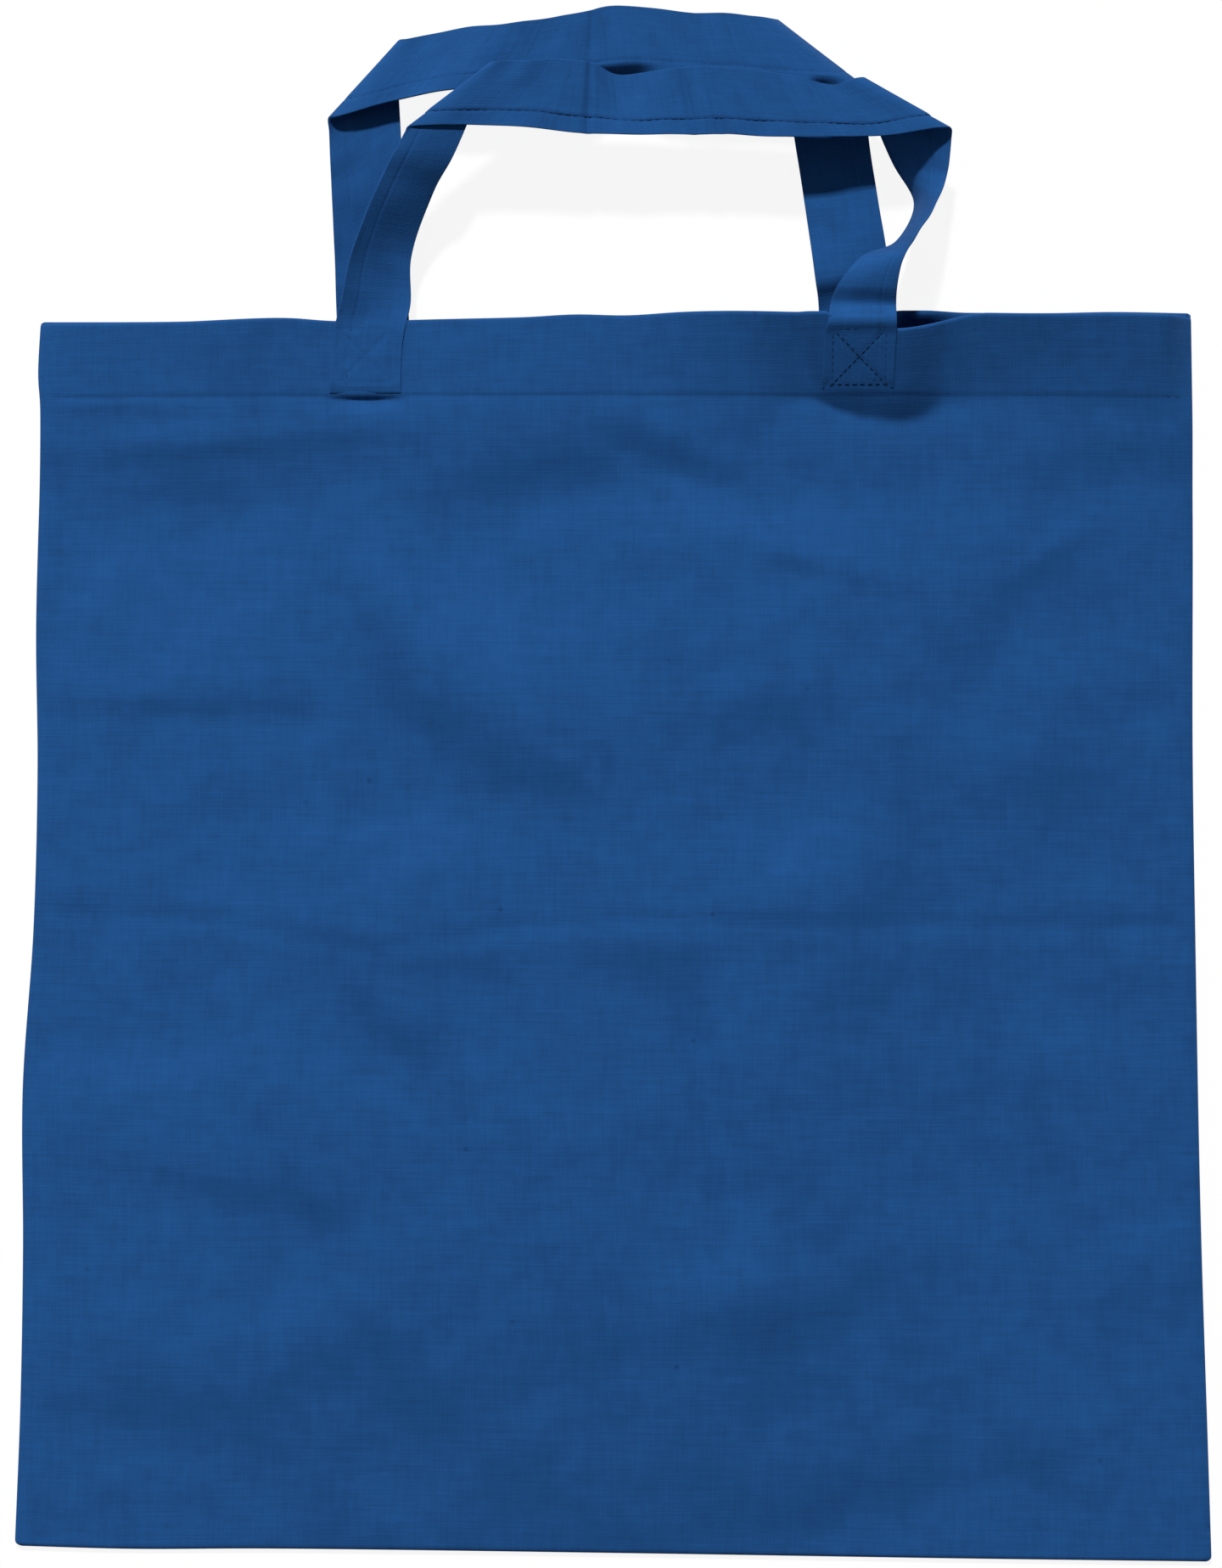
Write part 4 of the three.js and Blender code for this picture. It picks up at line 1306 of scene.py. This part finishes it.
def tack_lines(place, surface):
    """A square with a cross, laid on a surface."""
    share = np.linspace(0, 1, TACK_POINTS)
    lines = []
    for start, end in tack_sides(place):
        x = start[0] + (end[0] - start[0]) * share
        y = start[1] + (end[1] - start[1]) * share
        lines.append(np.stack([x, y, surface(x, y)], axis=1))
    return lines


def strap_top(x, y):
    """Where the sewn squares lie on the front strap's ends."""
    return front_height(x, y) - PRESSED + 2 * SEWN_HALF - TACK_GROOVE + THREAD_SINK


def strap_underside(x, y):
    """Where they lie under the back strap's ends."""
    return np.full(x.shape, BACK_END - SEWN_HALF + TACK_GROOVE - THREAD_SINK)


def side_seam_line(right_side):
    """A zigzag round the raw edges of one side seam, inside the bag."""
    y = np.linspace(*ZIGZAG_SPAN, ZIGZAG_POINTS)
    left, right = side_lines(y)
    inset = np.resize(ZIGZAG_INSETS, len(y))
    x = right - inset if right_side else left + inset
    return np.stack([x, y, 0.5 * (front_middle(x, y) + back_middle(x, y))], axis=1)


hem_seams = [hem_line(front_middle, front_line, 1), hem_line(back_middle, from_mouth, -1)]
back_seams = [strap_line(back_strap, side, BENT_BORDERS) for side in (1, -1)]
front_seams = [strap_line(front_strap, side) for side in (1, -1)]
print("hem row:", round(HEM_SPAN[1] - HEM_SPAN[0]), "mm on each panel")

# %% Sew every seam
ZIGZAG_STITCH = 2.0
TACK_STITCH = 2.3
seams = [
    ("hem_thread", hem_seams, STITCH_LENGTH),
    ("back_handle_edge_thread", back_seams, STITCH_LENGTH),
    ("front_handle_edge_thread", front_seams, STITCH_LENGTH),
    ("left_side_seam_thread", [side_seam_line(False)], ZIGZAG_STITCH),
    ("right_side_seam_thread", [side_seam_line(True)], ZIGZAG_STITCH),
    ("front_left_tack_thread", tack_lines(FRONT_TACKS[0], strap_top), TACK_STITCH),
    ("front_right_tack_thread", tack_lines(FRONT_TACKS[1], strap_top), TACK_STITCH),
    ("back_left_tack_thread", tack_lines(BACK_TACKS[0], strap_underside), TACK_STITCH),
    ("back_right_tack_thread", tack_lines(BACK_TACKS[1], strap_underside), TACK_STITCH),
]
threads = {node: sewn(node, *seam, seed) for seed, (node, *seam) in enumerate(seams, 1)}
print("sewn:", {node: len(piece.data.polygons) for node, piece in threads.items()})
